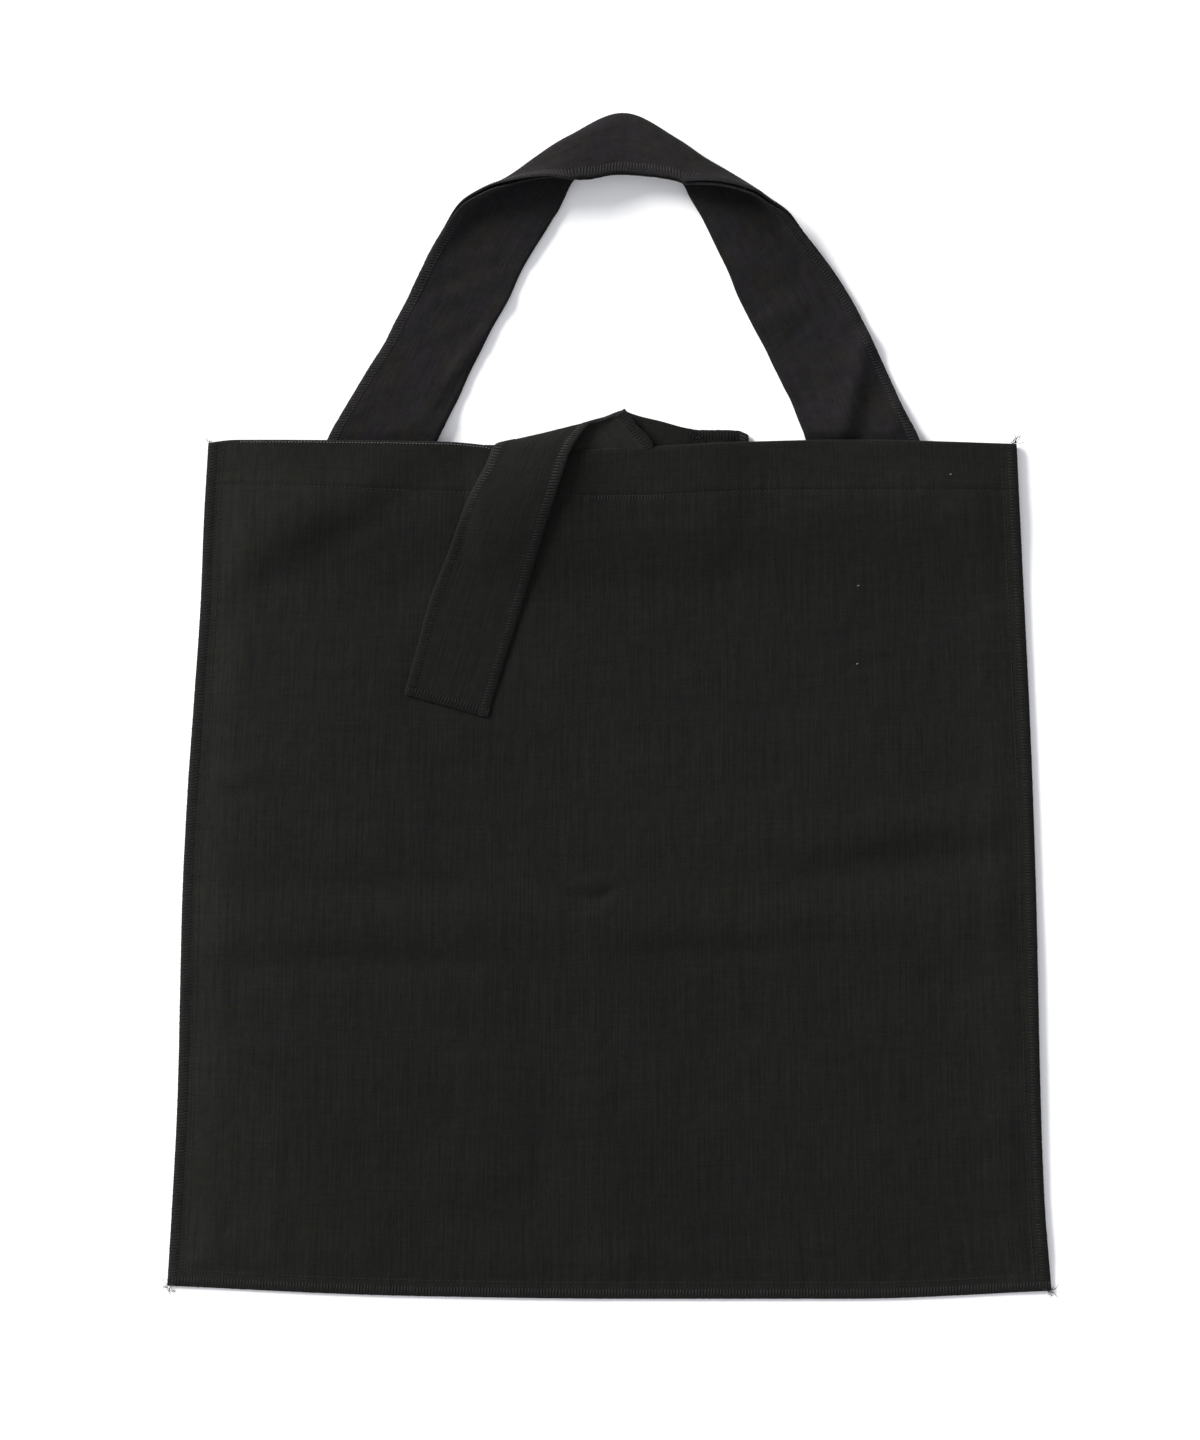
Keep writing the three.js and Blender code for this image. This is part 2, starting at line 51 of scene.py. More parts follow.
# Thickness of one ply and of a strap, the air between layers, and the depth of the turned hem.
PLY = 1.0
STRAP = 1.2
AIR = 0.3
LAYER = PLY + AIR
STRAP_LAYER = STRAP + AIR
HEM = 26.5
TURN_RADIUS = LAYER / 2
MOUTH_INSET = TURN_RADIUS + PLY / 2

# How high the middle of each layer lies, and a little play that keeps layers apart.
PLAY = 0.02
BACK_HEIGHT = PLY / 2
FRONT_HEIGHT = BACK_HEIGHT + LAYER
BACK_HEM_TOP = 2 * PLY + AIR
ON_HEM = BACK_HEM_TOP + AIR + STRAP / 2 + STRAP_LAYER
AT_REST = STRAP / 2 + STRAP_LAYER + PLAY

# The panels' side edges, bottom edge and mouth edge.
SIDES = np.array([
    # y, left, right
    (-325, -243.1, 243.1),
    (-271, -239.9, 238.8),
    (-216, -237.2, 236.7),
    (-106, -234.6, 234.3),
    (-51, -232, 232.6),
    (4, -228.2, 230.4),
    (59, -224.5, 227.7),
    (103, -222.7, 225.5),
    (148, -220.1, 223.4),
])
BOTTOM_EDGE = np.array([
    # x, y
    (-243, -317.6),
    (-115, -323.1),
    (8, -324.8),
    (132, -324.8),
    (243, -320.4),
])
FRONT_MOUTH = np.array([
    # x, y
    (-221, 145.5),
    (-205, 147.1),
    (-93, 146),
    (-66, 143.6),
    (-57, 137.4),
    (-30, 136.8),
    (-13, 141.1),
    (23, 143.3),
    (76, 146),
    (132, 147.1),
    (224, 144.9),
])
BACK_MOUTH = np.array([(-221, 144.5), (224, 144.2)])

# What lies between the panels lifts the front one: left, its slope, right, its slope, bottom, its
# slope, and the lift.
BUNDLES = [
    (-172, 44, -84, 24, 110, 50, 2 * STRAP_LAYER),
    (98, 24, 190, 32, 110, 50, 2 * STRAP_LAYER),
    (-67, 24, 54, 46, 100, 40, 4 * LAYER),
    (50, 20, 82, 30, 99, 40, 2.7),
]

# The power by which lifts that meet are blended.
BUNDLE_BLEND = 4

# How far the two hems lift the front panel, and where its slope below them ends and begins.
HEM_LIFT = 2 * LAYER
HEM_MARGIN = 4
HEM_SLOPE = 50

# How far the free cloth stands off by itself.
LOFT = 2.4

# Soft ridges and troughs of the front panel: centre, direction in degrees, half length, half width
# and height.
RELIEF = [
    (0, -119, 1, 250, 17, 2.4),
    (-120, -98, 0, 80, 9, -1.5),
    (162, -86, 6, 66, 11, -3.1),
    (176, -63, 6, 60, 13, 2.2),
    (-140, -141, 2, 95, 9, -1.9),
    (68, -134, 3, 58, 8, -1.5),
    (14, -215, 90, 110, 30, 1.8),
    (-8, -213, 90, 110, 8, 0.5),
    (-206, -251, 90, 50, 20, -0.8),
    (-160, 110, 30, 88, 15, 2.7),
    (-150, 90, 30, 80, 9, -1.0),
    (208, 58, 10, 18, 9, -0.9),
    (175, 95, -47, 50, 16, 1.0),
    (-30, 132, 0, 28, 24, 6.0),
]

# Smaller creases of the same kind.
CREASES = [
    (-4, 6, -10, 14, 2.5, -0.8),
    (138, 23, 11, 33, 2.6, -0.7),
    (-101, -32, 0, 30, 2.6, -0.55),
    (-132, -63, -4, 55, 2.8, -0.6),
    (-176, 2, 8, 22, 2.8, -0.6),
    (-142, 16, 5, 16, 2.6, -0.5),
    (58, -44, 4, 40, 3, -0.5),
    (-62, -84, 3, 34, 3, -0.5),
    (-8, -97, 4, 14, 4.5, 1.3),
    (-13, -104, -8, 8, 3.4, -1.6),
    (-3, -103.2, 28, 7, 3.4, -1.7),
    (36, -131, 0, 19, 4, -0.6),
    (6, -216, 25, 11, 4, -0.5),
    (206, -249, 10, 11, 5, -0.8),
    (-183, -257, 84, 45, 4, 0.6),
    (-38, -248, 90, 33, 9, -0.8),
    (-204, -48, 5, 13, 4, -0.9),
    (-204, -38, 5, 16, 5, 0.6),
    (86, 124, 80, 10, 1.8, -0.6),
    (76, 131, 75, 9, 1.8, -0.55),
    (96, 126, 85, 11, 1.6, -0.55),
    (-207, 138, 80, 22, 1.6, 0.9),
    (-213, 134, 84, 26, 4, -0.6),
    (-118, 118, 55, 16, 7, -0.6),
]

# The straight seam that holds the hem.
HEM_LINE = np.array([
    # x, y
    (-221, 122.6),
    (-207.6, 122.4),
    (-148.2, 120.7),
    (-82.8, 118),
    (-11.8, 115.8),
    (22.3, 116.3),
    (93.8, 119.1),
    (224, 119.1),
])

# Creases of the straps' legs, only upwards because they lie on the surface.
STRAP_CREASES = [
    (132.5, 167, 76, 38, 6, 4.6),
    (124, 166, 77, 38, 12, 2.0),
    (156, 158, 78, 24, 5, 1.0),
    (143, 204, 60, 9, 4, 1.5),
    (-84, 186, 55, 28, 3.2, 2.2),
    (-98, 176, 60, 22, 4, 0.9),
    (-88, 226, 15, 9, 3, 1.0),
    (-64, 236, 20, 10, 4, 0.9),
    (92, 214, 30, 14, 5, 1.0),
    (110, 190, 60, 18, 6, 0.7),
]

# A handle from its left end to its right one: its outer and inner edges, how many degrees its
# flap is turned over, and the widths of the roll that it turns in and of the flap beyond.
HANDLE_COLUMNS = "outX outY outZ inX inY inZ curl roll flap"
HANDLE = np.array([
    (-167.5, 120.5, ON_HEM, -107, 120.5, ON_HEM, 0, 4, 8),
    (-154.8, 147, ON_HEM, -94.3, 146.6, ON_HEM, 0, 4, 8),
    (-153.2, 150.4, ON_HEM, -92.7, 150, ON_HEM, 0, 4, 8),
    (-138, 176, 2.2, -82, 173, 2.2, 0, 4, 8),
    (-118, 210.4, AT_REST, -69, 199.9, AT_REST, 0, 4, 8),
    (-105.9, 235.7, 2.6, -55.8, 224.1, AT_REST, 8, 5, 8),
    (-95, 257, 3.8, -46.5, 243.5, 2.3, 26, 6, 8),
    (-83.2, 276, 5.4, -38, 258, 2.6, 52, 7, 8),
    (-71.2, 283.4, 6.6, -31.6, 268.1, 2.8, 78, 7.5, 9),
    (-60.2, 287.9, 7, -28.3, 272.5, 2.8, 98, 7.5, 11),
    (-40.4, 301.1, 7, -24.6, 279.8, 2.6, 132, 7, 17),
    (-21.2, 312.7, 6.2, -19.5, 289.6, 2.4, 154, 6, 24),
    (6.9, 324.8, 5, 6.9, 303, 2.4, 168, 5, 31),
    (36.6, 310.5, 6.2, 39, 288.6, 2.4, 154, 6, 23),
    (52, 301.1, 7, 44.4, 280.8, 2.6, 135, 7, 17),
    (67.4, 292.3, 7, 49.8, 270.9, 2.8, 112, 7.5, 14),
    (88.8, 278.6, 6.6, 58.6, 252.7, 2.8, 80, 7.5, 9),
    (99.6, 271.2, 5.4, 64, 241.5, 2.6, 56, 7, 8),
    (107.4, 260.6, 4, 69.5, 229.5, 2.4, 32, 6, 8),
    (128.4, 231.8, 2.6, 83.9, 200.5, AT_REST, 8, 4, 8),
    (142.2, 206, AT_REST, 92.7, 184, AT_REST, 0, 4, 8),
    (157, 174, 2.2, 99.5, 169, 2.2, 0, 4, 8),
    (168, 150.4, ON_HEM, 107.5, 150.4, ON_HEM, 0, 4, 8),
    (169.7, 147, ON_HEM, 108.6, 146.6, ON_HEM, 0, 4, 8),
    (181.2, 120.5, ON_HEM, 120.7, 120.5, ON_HEM, 0, 4, 8),
])

# The least turn in degrees, how much further apart the two handles lie for each radian of turn,
# and how much of what the turn takes up the nested one makes good by slipping outward.
LEAST_CURL = 0.05
NEST_EASE = 0.42
NEST_SLIP = 0.75

# A tie from where it is sewn to its free end. The front tie's heights are over the front panel.
UNDER_HEM = -2 * LAYER
ON_PANEL = LAYER
TIE_COLUMNS = "leftX leftY leftZ rightX rightY rightZ belly"
TIE_FRONT = np.array([
    (-14.5, 114.5, UNDER_HEM, 30, 114.5, UNDER_HEM, 0),
    (-15.5, 117.5, UNDER_HEM, 27.5, 131, UNDER_HEM, 0),
    (-17, 120.5, UNDER_HEM, 22.6, 146, 0.5, 0),
    (-23, 125.2, UNDER_HEM, 15, 154.2, 0.6, 0.1),
    (-29, 130, UNDER_HEM, 7.5, 162.8, 0.7, 0.2),
    (-38.5, 134.5, -2.6, -1, 159.6, 1.5, 0.8),
    (-48, 143.2, -2.4, -10.5, 156, 2.5, 1.9),
    (-56.5, 145.3, -0.6, -17, 148.6, 4.0, 2.2),
    (-62, 144.4, 2.2, -22, 140.3, 5.8, 2.1),
    (-67.5, 133, 3.2, -25.6, 130, 6.5, 1.8),
    (-77.8, 113.6, 2.8, -31.8, 111, 4.6, 1.4),
    (-88.3, 85, 2.0, -41.3, 79.5, 2.7, 1.0),
    (-98.2, 59.7, 1.6, -49.8, 51, 1.8, 0.6),
    (-106.4, 29.4, 1.4, -59.4, 20.5, 1.4, 0.4),
    (-112.5, 7.4, ON_PANEL, -67.4, -5.2, ON_PANEL, 0.2),
])

# The heights at which the back tie's layers lie.
TIE_LOW = BACK_HEM_TOP + AIR + PLY / 2
TIE_MID = TIE_LOW + LAYER
TIE_HIGH = TIE_LOW + 2 * LAYER
TIE_BACK = np.array([
    (-35, 114, TIE_LOW, 9, 114, TIE_LOW, 0),
    (-35, 130, TIE_LOW, 9, 162.6, TIE_LOW, 0),
    (-35.6, 130.9, 3.5, 8.5, 163.6, 3.5, 0),
    (-35.8, 131.2, TIE_MID, 8.3, 163.9, TIE_MID, 0),
    (-35.4, 130.8, 5.3, 8.6, 163.5, 5.3, 0),
    (-34.4, 129.8, TIE_HIGH, 9.6, 162.3, TIE_HIGH, 0),
    (17.1, 114.4, TIE_HIGH, 30, 156.5, TIE_HIGH, 0),
    (33.5, 109, TIE_HIGH, 42.5, 153.2, TIE_HIGH, 0),
    (48, 107, TIE_MID, 50, 152.2, TIE_MID, 0),
    (60, 105.5, TIE_MID, 63, 152.1, TIE_MID, 0),
    (71, 105, 3.6, 71, 151.7, 3.6, 0),
    (77.6, 105, TIE_LOW, 76.3, 149.6, TIE_LOW, 0),
])

# A tie's height goes from its left edge's to its right edge's by this power.
TIE_EASE = 1.5


# Curves and fields

def ease(share):
    """A smooth step from 0 to 1 as a share goes from 0 to 1."""
    return share * share * (3 - 2 * share)


def ramp(value, low, high):
    """A smooth step from 0 to 1 between two limits."""
    return ease(np.clip((value - low) / (high - low), 0, 1))


def near(distance, width):
    """1 at no distance, and falling off softly over a width."""
    return np.exp(-((distance / width) ** 2))


def smooth_column(stations, values, at):
    """A smooth curve through a table's column that never overshoots a row."""
    steps = np.diff(values) / np.diff(stations)
    before = np.concatenate([steps[:1], steps])
    after = np.concatenate([steps, steps[-1:]])
    same_way = before * after > 0
    slopes = np.where(same_way, 2 * before * after / np.where(same_way, before + after, 1), 0)
    place = np.clip(at, stations[0], stations[-1])
    k = np.clip(np.searchsorted(stations, place) - 1, 0, len(steps) - 1)
    width = stations[k + 1] - stations[k]
    share = (place - stations[k]) / width
    leaving = width * slopes[k] * share * (1 - share) ** 2
    arriving = width * slopes[k + 1] * share * share * (share - 1)
    return values[k] + (values[k + 1] - values[k]) * ease(share) + leaving + arriving


def table_curve(table, column=1):
    """A column of a table as a smooth function of its first column."""
    def read(at):
        return smooth_column(table[:, 0], table[:, column], at)

    return read


left_side = table_curve(SIDES)
right_side = table_curve(SIDES, 2)
bottom_edge = table_curve(BOTTOM_EDGE)
front_mouth = table_curve(FRONT_MOUTH)
back_mouth = table_curve(BACK_MOUTH)
hem_line = table_curve(HEM_LINE)

# Noise of different shifts reads different parts of one table.
NOISE_SIZE = 64
NOISE_SHIFT = (7.31, 3.77)
NOISE_TABLE = random.uniform(-1, 1, (NOISE_SIZE, NOISE_SIZE))


def noise(x, y, cell_x, cell_y, shift):
    """Soft noise between -1 and 1 with cells of the given size."""
    grid_x = x / cell_x + shift * NOISE_SHIFT[0]
    grid_y = y / cell_y + shift * NOISE_SHIFT[1]
    column = np.floor(grid_x).astype(int)
    row = np.floor(grid_y).astype(int)
    part_x = ease(grid_x - column)
    part_y = ease(grid_y - row)

    def corner(right, up):
        return NOISE_TABLE[(column + right) % NOISE_SIZE, (row + up) % NOISE_SIZE]

    low = corner(0, 0) * (1 - part_y) + corner(0, 1) * part_y
    high = corner(1, 0) * (1 - part_y) + corner(1, 1) * part_y
    return low * (1 - part_x) + high * part_x


def uneven_rise(rows, x, y):
    """The sum of a table of noises: height, cell width, cell length and shift."""
    return sum(rise * noise(x, y, wide, long, shift) for rise, wide, long, shift in rows)


def relief_rise(rows, x, y):
    """The sum of soft ridges and troughs."""
    total = np.zeros(np.broadcast(x, y).shape)
    for centre_x, centre_y, turn, long, wide, rise in rows:
        cos, sin = math.cos(turn * DEGREE), math.sin(turn * DEGREE)
        along = (x - centre_x) * cos + (y - centre_y) * sin
        aside = (y - centre_y) * cos - (x - centre_x) * sin
        total = total + rise * near(along, long) * near(aside, wide)
    return total


def bundles_lift(x, y):
    """How far the straps and ties between the panels lift the front one."""
    total = 0
    for left, left_slope, right, right_slope, bottom, lower_slope, lift in BUNDLES:
        rising = ramp(x, left - left_slope, left)
        falling = 1 - ramp(x, right, right + right_slope)
        whole = lift * rising * falling * ramp(y, bottom - lower_slope, bottom)
        total = total + whole ** BUNDLE_BLEND
    return total ** (1 / BUNDLE_BLEND)


def base_height(x, y):
    """Height of the front panel's middle where it lies close on the layers below."""
    foot = front_mouth(x) - HEM - HEM_MARGIN
    return FRONT_HEIGHT + HEM_LIFT * ramp(y, foot - HEM_SLOPE, foot) + bundles_lift(x, y)


def from_edges(x, y):
    """How far in from the nearer side and up from the bottom a place on the front panel is."""
    return np.minimum(x - left_side(y), right_side(y) - x), y - bottom_edge(x)


# Both panels stand up along the right side: how high and how unevenly, over which stretches of y
# this starts and falls by a share, and how far in from the edge it sinks.
EDGE_LIFT = 1.7
EDGE_UNEVEN = 0.35
EDGE_START = (-325, -290)
EDGE_FALL = (60, 140)
EDGE_FALL_SHARE = 0.7
EDGE_SINK = (3, 34)


def edge_lift(x, y):
    from_right = right_side(y) - x
    uneven = 1 + EDGE_UNEVEN * noise(0 * x, y, 50, 60, 11)
    ends = ramp(y, *EDGE_START) * (1 - EDGE_FALL_SHARE * ramp(y, *EDGE_FALL))
    return EDGE_LIFT * uneven * ends * (1 - ramp(from_right, *EDGE_SINK))


# The front panel swells between these distances in from its edges. Over the stretch of y at the
# hem it loses its loft, and these shares of its folds and its creases.
SEAM_INSET = 8.5
SWELL_START = SEAM_INSET - 4
SWELL_WHOLE = 25
HEM_STRETCH = (105, 138)
FOLD_LOSS = 0.2
CREASE_LOSS = 0.5

# Its unevenness as rows of uneven_rise, and slanting creases that come and go.
PANEL_UNEVEN = [
    (0.6, 46, 26, 1),
    (0.36, 19, 13, 2),
    (0.15, 8, 6, 3),
]
SLANT_RISE = 0.25
SLANT_LEAN = 0.25
SLANT_SHOWS = (0, 0.7)


def swelled_height(x, y):
    """Height of the front panel's middle over the surface with its folds and creases."""
    from_side, from_low = from_edges(x, y)
    inside = ramp(np.minimum(from_side, from_low), SWELL_START, SWELL_WHOLE)
    at_hem = ramp(y, *HEM_STRETCH)
    loft = LOFT * (1 - at_hem) + relief_rise(RELIEF, x, y) * (1 - FOLD_LOSS * at_hem)
    shows = ramp(noise(x, y, 50, 50, 5), *SLANT_SHOWS)
    slanting = SLANT_RISE * noise(x + SLANT_LEAN * y, y, 60, 7, 4) * shows
    small = relief_rise(CREASES, x, y) + uneven_rise(PANEL_UNEVEN, x, y) + slanting
    free = np.maximum(loft + small * (1 - CREASE_LOSS * at_hem), 0)
    return base_height(x, y) + inside * free + edge_lift(x, y)


# What the seams do to the front panel: a dent along the edge seams and puckers across them, a
# groove along the hem seam with a ridge above it and gathers across it, and a lip at the mouth
# that bends down, most in the middle. Depths, widths, and the noises' two cell sizes.
DENT_DEPTH = 0.18
DENT_WIDTH = 2.4
PUCKER_HEIGHT = 0.34
PUCKER_CELLS = (60, 5.5)
PUCKER_WIDTH = 7
GATHER_CELLS = (4.6, 40)
GATHER_WIDTH = 5
GATHER_START = (3, 12)
GROOVE_DEPTH = 0.42
GROOVE_WIDTH = 1.3
RIDGE_HEIGHT = 0.18
RIDGE_INSET = 3.4
RIDGE_WIDTH = 2
LIP_DEPTH = 0.8
LIP_WIDTH = 2.6
LIP_LEAST = 0.35
LIP_MIDDLE = 28
LIP_SPREAD = 46


def creased_height(x, y):
    """The same with what the seams and the mouth's fold do to it."""
    from_side, from_low = from_edges(x, y)
    from_hem = y - hem_line(x)
    from_mouth = front_mouth(x) - y
    wide, narrow = PUCKER_CELLS
    dent = -DENT_DEPTH * near(np.minimum(from_side, from_low) - SEAM_INSET, DENT_WIDTH)
    side_pucker = noise(x, y, wide, narrow, 6) * near(from_side - SEAM_INSET, PUCKER_WIDTH)
    low_pucker = noise(x, y, narrow, wide, 7) * near(from_low - SEAM_INSET, PUCKER_WIDTH)
    gather = noise(x, y, *GATHER_CELLS, 8) * near(from_hem, GATHER_WIDTH)
    gather = gather * ramp(from_side, *GATHER_START)
    pucker = PUCKER_HEIGHT * (side_pucker + low_pucker + gather)
    groove = -GROOVE_DEPTH * near(from_hem, GROOVE_WIDTH)
    ridge = RIDGE_HEIGHT * near(from_hem - RIDGE_INSET, RIDGE_WIDTH)
    most = LIP_LEAST + (1 - LIP_LEAST) * near(x - LIP_MIDDLE, LIP_SPREAD)
    lip = -LIP_DEPTH * (1 - ramp(from_mouth, 0, LIP_WIDTH)) * most
    return swelled_height(x, y) + dent + pucker + groove + ridge + lip


def back_height(x, y):
    return BACK_HEIGHT + edge_lift(x, y)


# Sheets

# The panels as cut: their width, and the y of their bottom and of the mouth's fold. Their cells
# are finer from FINE_FROM up.
PANEL_WIDTH = 465
PANEL_LOW = -321
PANEL_TOP = 146
FINE_FROM = 104


def unit(vectors):
    return vectors / np.linalg.norm(vectors, axis=-1, keepdims=True)


class Sheet:
    """Points on a cloth's middle surface, their places on the flat cloth, and where it faces."""

    def __init__(self, points, thickness, cut):
        self.points = points
        self.thickness = thickness
        self.cut = cut
        self.facing = unit(np.cross(np.gradient(points, axis=0), np.gradient(points, axis=1)))


def panel_sheet(mouth, height, fold, across_cells, lower_cells, upper_cells, turn_cells, hem_cells):
    """A panel from its bottom edge to its mouth, round the mouth's fold and back as the hem."""
    lower = np.linspace(PANEL_LOW, FINE_FROM, lower_cells + 1)
    upper = np.linspace(FINE_FROM, PANEL_TOP, upper_cells + 1)[1:]
    nominal = np.concatenate([lower, upper])[None, :]
    share = np.linspace(0, 1, across_cells + 1)[:, None]
    left = left_side(nominal)
    x = left + (right_side(nominal) - left) * share
    rise = (nominal - PANEL_LOW) / (PANEL_TOP - PANEL_LOW)
    low = bottom_edge(x)
    y = low + (mouth(x) - MOUTH_INSET - low) * rise
    body = np.stack([x, y, height(x, y)], axis=2)
    steps = np.arange(1, turn_cells + hem_cells + 1)[None, :]
    turned = np.minimum(steps / turn_cells, 1) * math.pi
    down = np.maximum(steps - turn_cells, 0) / hem_cells * (HEM - MOUTH_INSET)
    hem_x = x[:, -1:] + 0 * steps
    hem_y = y[:, -1:] + TURN_RADIUS * np.sin(turned) - down
    aside = fold * TURN_RADIUS * (1 - np.cos(turned))
    hem_z = height(hem_x, np.minimum(hem_y, y[:, -1:])) + aside
    points = np.concatenate([body, np.stack([hem_x, hem_y, hem_z], axis=2)], axis=1)
    cut_y = np.concatenate([nominal, PANEL_TOP + TURN_RADIUS * turned + down], axis=1)
    cut = np.broadcast_arrays((share - 0.5) * PANEL_WIDTH, cut_y)
    return Sheet(points, PLY, np.stack(cut, axis=2))


def row_distances(rows):
    steps = np.linalg.norm(np.diff(rows, axis=0), axis=1)
    return np.concatenate([[0], np.cumsum(steps)])


def read_table(names, rows, middles, spacing):
    """Evenly spaced stations along a table's rows, and its named columns there."""
    distances = row_distances(middles)
    count = max(int(round(distances[-1] / spacing)), 1)
    stations = np.linspace(0, distances[-1], count + 1)
    columns = {
        name: smooth_column(distances, rows[:, k], stations)
        for k, name in enumerate(names.split())
    }
    return stations, columns


# The straps' cells: along, and across the body, the roll and the flap.
STRAP_SPACING = 2.2
BODY_CELLS = 16
ROLL_CELLS = 10
FLAP_CELLS = 12

# How the straps' edges waver: the flap's width, and the outer and the inner edge sideways.
FLAP_WAVER = 1.0
OUTER_WAVER = 0.5
INNER_WAVER = 0.6

# How much narrower the front strap's flap is where it is turned over, and towards the crown's left
# end: the width and the turns, in radians, between which it starts.
FLAP_TRIM = (1.6, 0.5, 1.5)
LEFT_TRIM = (2.8, 1.4, 2.1)
LEFT_TRIM_FADE = (-36, -14)

# How far the straps' legs swell, their unevenness as rows of uneven_rise, and the stretches of y
# where the swelling starts and ends.
LEG_SWELL = 0.7
LEG_UNEVEN = [
    (0.75, 15, 11, 9),
    (0.45, 7, 6, 10),
]
LEG_START = (147.2, 151.5)
LEG_END = (262, 282)


def strap_swell(points):
    """How far the straps' legs stand off at soft creases and unevenness."""
    x, y = points[..., 0], points[..., 1]
    free = ramp(y, *LEG_START) * (1 - ramp(y, *LEG_END))
    uneven = LEG_SWELL + uneven_rise(LEG_UNEVEN, x, y)
    return free * (np.maximum(uneven, 0) + relief_rise(STRAP_CREASES, x, y))


def nest_depth(turn):
    """How far below the front strap the back one lies where both are turned over."""
    return STRAP_LAYER * (1 + NEST_EASE * turn)


def falling_share(before, cells, after):
    """1 before a stretch of cells, falling to 0 along it, and 0 after it."""
    return np.concatenate([np.ones(before), np.linspace(1, 0, cells + 1), np.zeros(after)])[:, None]


def handle_sheet(nested):
    """A handle: its folded section carried along the table's rows."""
    middles = (HANDLE[:, 0:2] + HANDLE[:, 3:5]) / 2
    stations, read = read_table(HANDLE_COLUMNS, HANDLE, middles, STRAP_SPACING)
    turn = np.maximum(read["curl"], LEAST_CURL) * DEGREE
    outer = np.stack([read["outX"], read["outY"], np.maximum(read["outZ"], AT_REST)], axis=1)
    least = STRAP / 2 + nest_depth(turn)
    inner = np.stack([read["inX"], read["inY"], np.maximum(read["inZ"], least)], axis=1)
    straight = 0 * stations
    roll = read["roll"]
    flap = read["flap"] + FLAP_WAVER * noise(stations, straight, 12, 1, 12)
    outer[:, 0] += OUTER_WAVER * noise(stations, straight, 14, 1, 13)
    inner[:, 0] += INNER_WAVER * noise(stations, straight, 16, 1, 14)
    outward = unit(outer - inner)
    sideways = unit(np.stack([-outward[:, 1], outward[:, 0], straight], axis=1))
    upward = np.cross(outward, sideways)
    reach = np.where(
        turn < math.pi / 2,
        roll * np.sin(turn) / turn + flap * np.cos(turn),
        roll / turn,
    )
    reach = reach + (STRAP_LAYER + STRAP / 2) * np.sin(np.minimum(turn, math.pi / 2))
    hinge = outer - outward * reach[:, None]
    body = np.linalg.norm(hinge - inner, axis=1)
    if nested:
        slip = NEST_SLIP * nest_depth(turn) * turn
        flap = flap - nest_depth(turn) * turn + slip
    else:
        slip = 0
        trim, *turns = FLAP_TRIM
        flap = flap - trim * ramp(turn, *turns)
        trim, *turns = LEFT_TRIM
        flap = flap - trim * ramp(turn, *turns) * (1 - ramp(read["outX"], *LEFT_TRIM_FADE))
    on_flap = falling_share(0, FLAP_CELLS, ROLL_CELLS + BODY_CELLS)
    in_roll = falling_share(FLAP_CELLS, ROLL_CELLS, BODY_CELLS)
    on_body = falling_share(FLAP_CELLS + ROLL_CELLS, BODY_CELLS, 0)
    angle = turn * in_roll
    radius = roll / turn
    out = (body - slip) * (on_body - 1) + radius * np.sin(angle) + on_flap * flap * np.cos(angle)
    up = radius * (1 - np.cos(angle)) + on_flap * flap * np.sin(angle)
    points = hinge + outward * out[..., None] + upward * up[..., None]
    cut_x = on_body * body + in_roll * roll + on_flap * flap
    cut = np.stack(np.broadcast_arrays(cut_x, stations), axis=2)
    if nested:
        facing = Sheet(points, STRAP, cut).facing
        points = points - facing * nest_depth(turn)[None, :, None]
    points[..., 2] += strap_swell(points)
    return Sheet(points, STRAP, cut)


# The ties as cut.
TIE_WIDTH = 46


def tie_sheet(rows, ground, spacing, cells):
    """A tie: a ribbon between its two long edges, with its middle bulged to the side it faces."""
    middles = (rows[:, 0:3] + rows[:, 3:6]) / 2
    stations, read = read_table(TIE_COLUMNS, rows, middles, spacing)
    share = np.linspace(0, 1, cells + 1)[:, None]
    x = read["leftX"] + (read["rightX"] - read["leftX"]) * share
    y = read["leftY"] + (read["rightY"] - read["leftY"]) * share
    z = read["leftZ"] + (read["rightZ"] - read["leftZ"]) * share ** TIE_EASE
    cut = np.stack(np.broadcast_arrays(share * TIE_WIDTH, stations), axis=2)
    flat = Sheet(np.stack([x, y, z], axis=2), PLY, cut)
    bulge = np.maximum(read["belly"], 0) * 4 * share * (1 - share)
    points = flat.points - flat.facing * bulge[..., None]
    points[..., 2] += ground(points[..., 0], points[..., 1])
    return Sheet(points, PLY, cut)


def make_object(name, vertices, face_sets, flat=None):
    """An object from vertices in metres and arrays of faces, each with faces of one size."""
    mesh = bpy.data.meshes.new(name)
    mesh.vertices.add(len(vertices))
    mesh.vertices.foreach_set("co", vertices.astype(np.float32).ravel())
    corners = np.concatenate([faces.ravel() for faces in face_sets])
    mesh.loops.add(len(corners))
    mesh.loops.foreach_set("vertex_index", corners.astype(np.int32))
    sizes = np.concatenate([np.full(len(faces), faces.shape[1]) for faces in face_sets])
    mesh.polygons.add(len(sizes))
    mesh.polygons.foreach_set("loop_start", (np.cumsum(sizes) - sizes).astype(np.int32))
    mesh.polygons.foreach_set("use_smooth", np.ones(len(sizes), bool))
    if flat is not None:
        layer = mesh.uv_layers.new(name="cloth")
        layer.uv.foreach_set("vector", flat[corners].astype(np.float32).ravel())
    mesh.update(calc_edges=True)
    mesh.validate()
    made = bpy.data.objects.new(name, mesh)
    scene.collection.objects.link(made)
    return made


def rim_loop(across, along):
    """The rows and columns of a grid's border, in order round it."""
    rows = [*range(across), *[across] * along, *range(across, 0, -1), *[0] * along]
    columns = [*[0] * across, *range(along), *[along] * across, *range(along, 0, -1)]
    return np.array(rows), np.array(columns)


# How far a sheet's rim stands out, in half thicknesses.
RIM_BULGE = 0.5


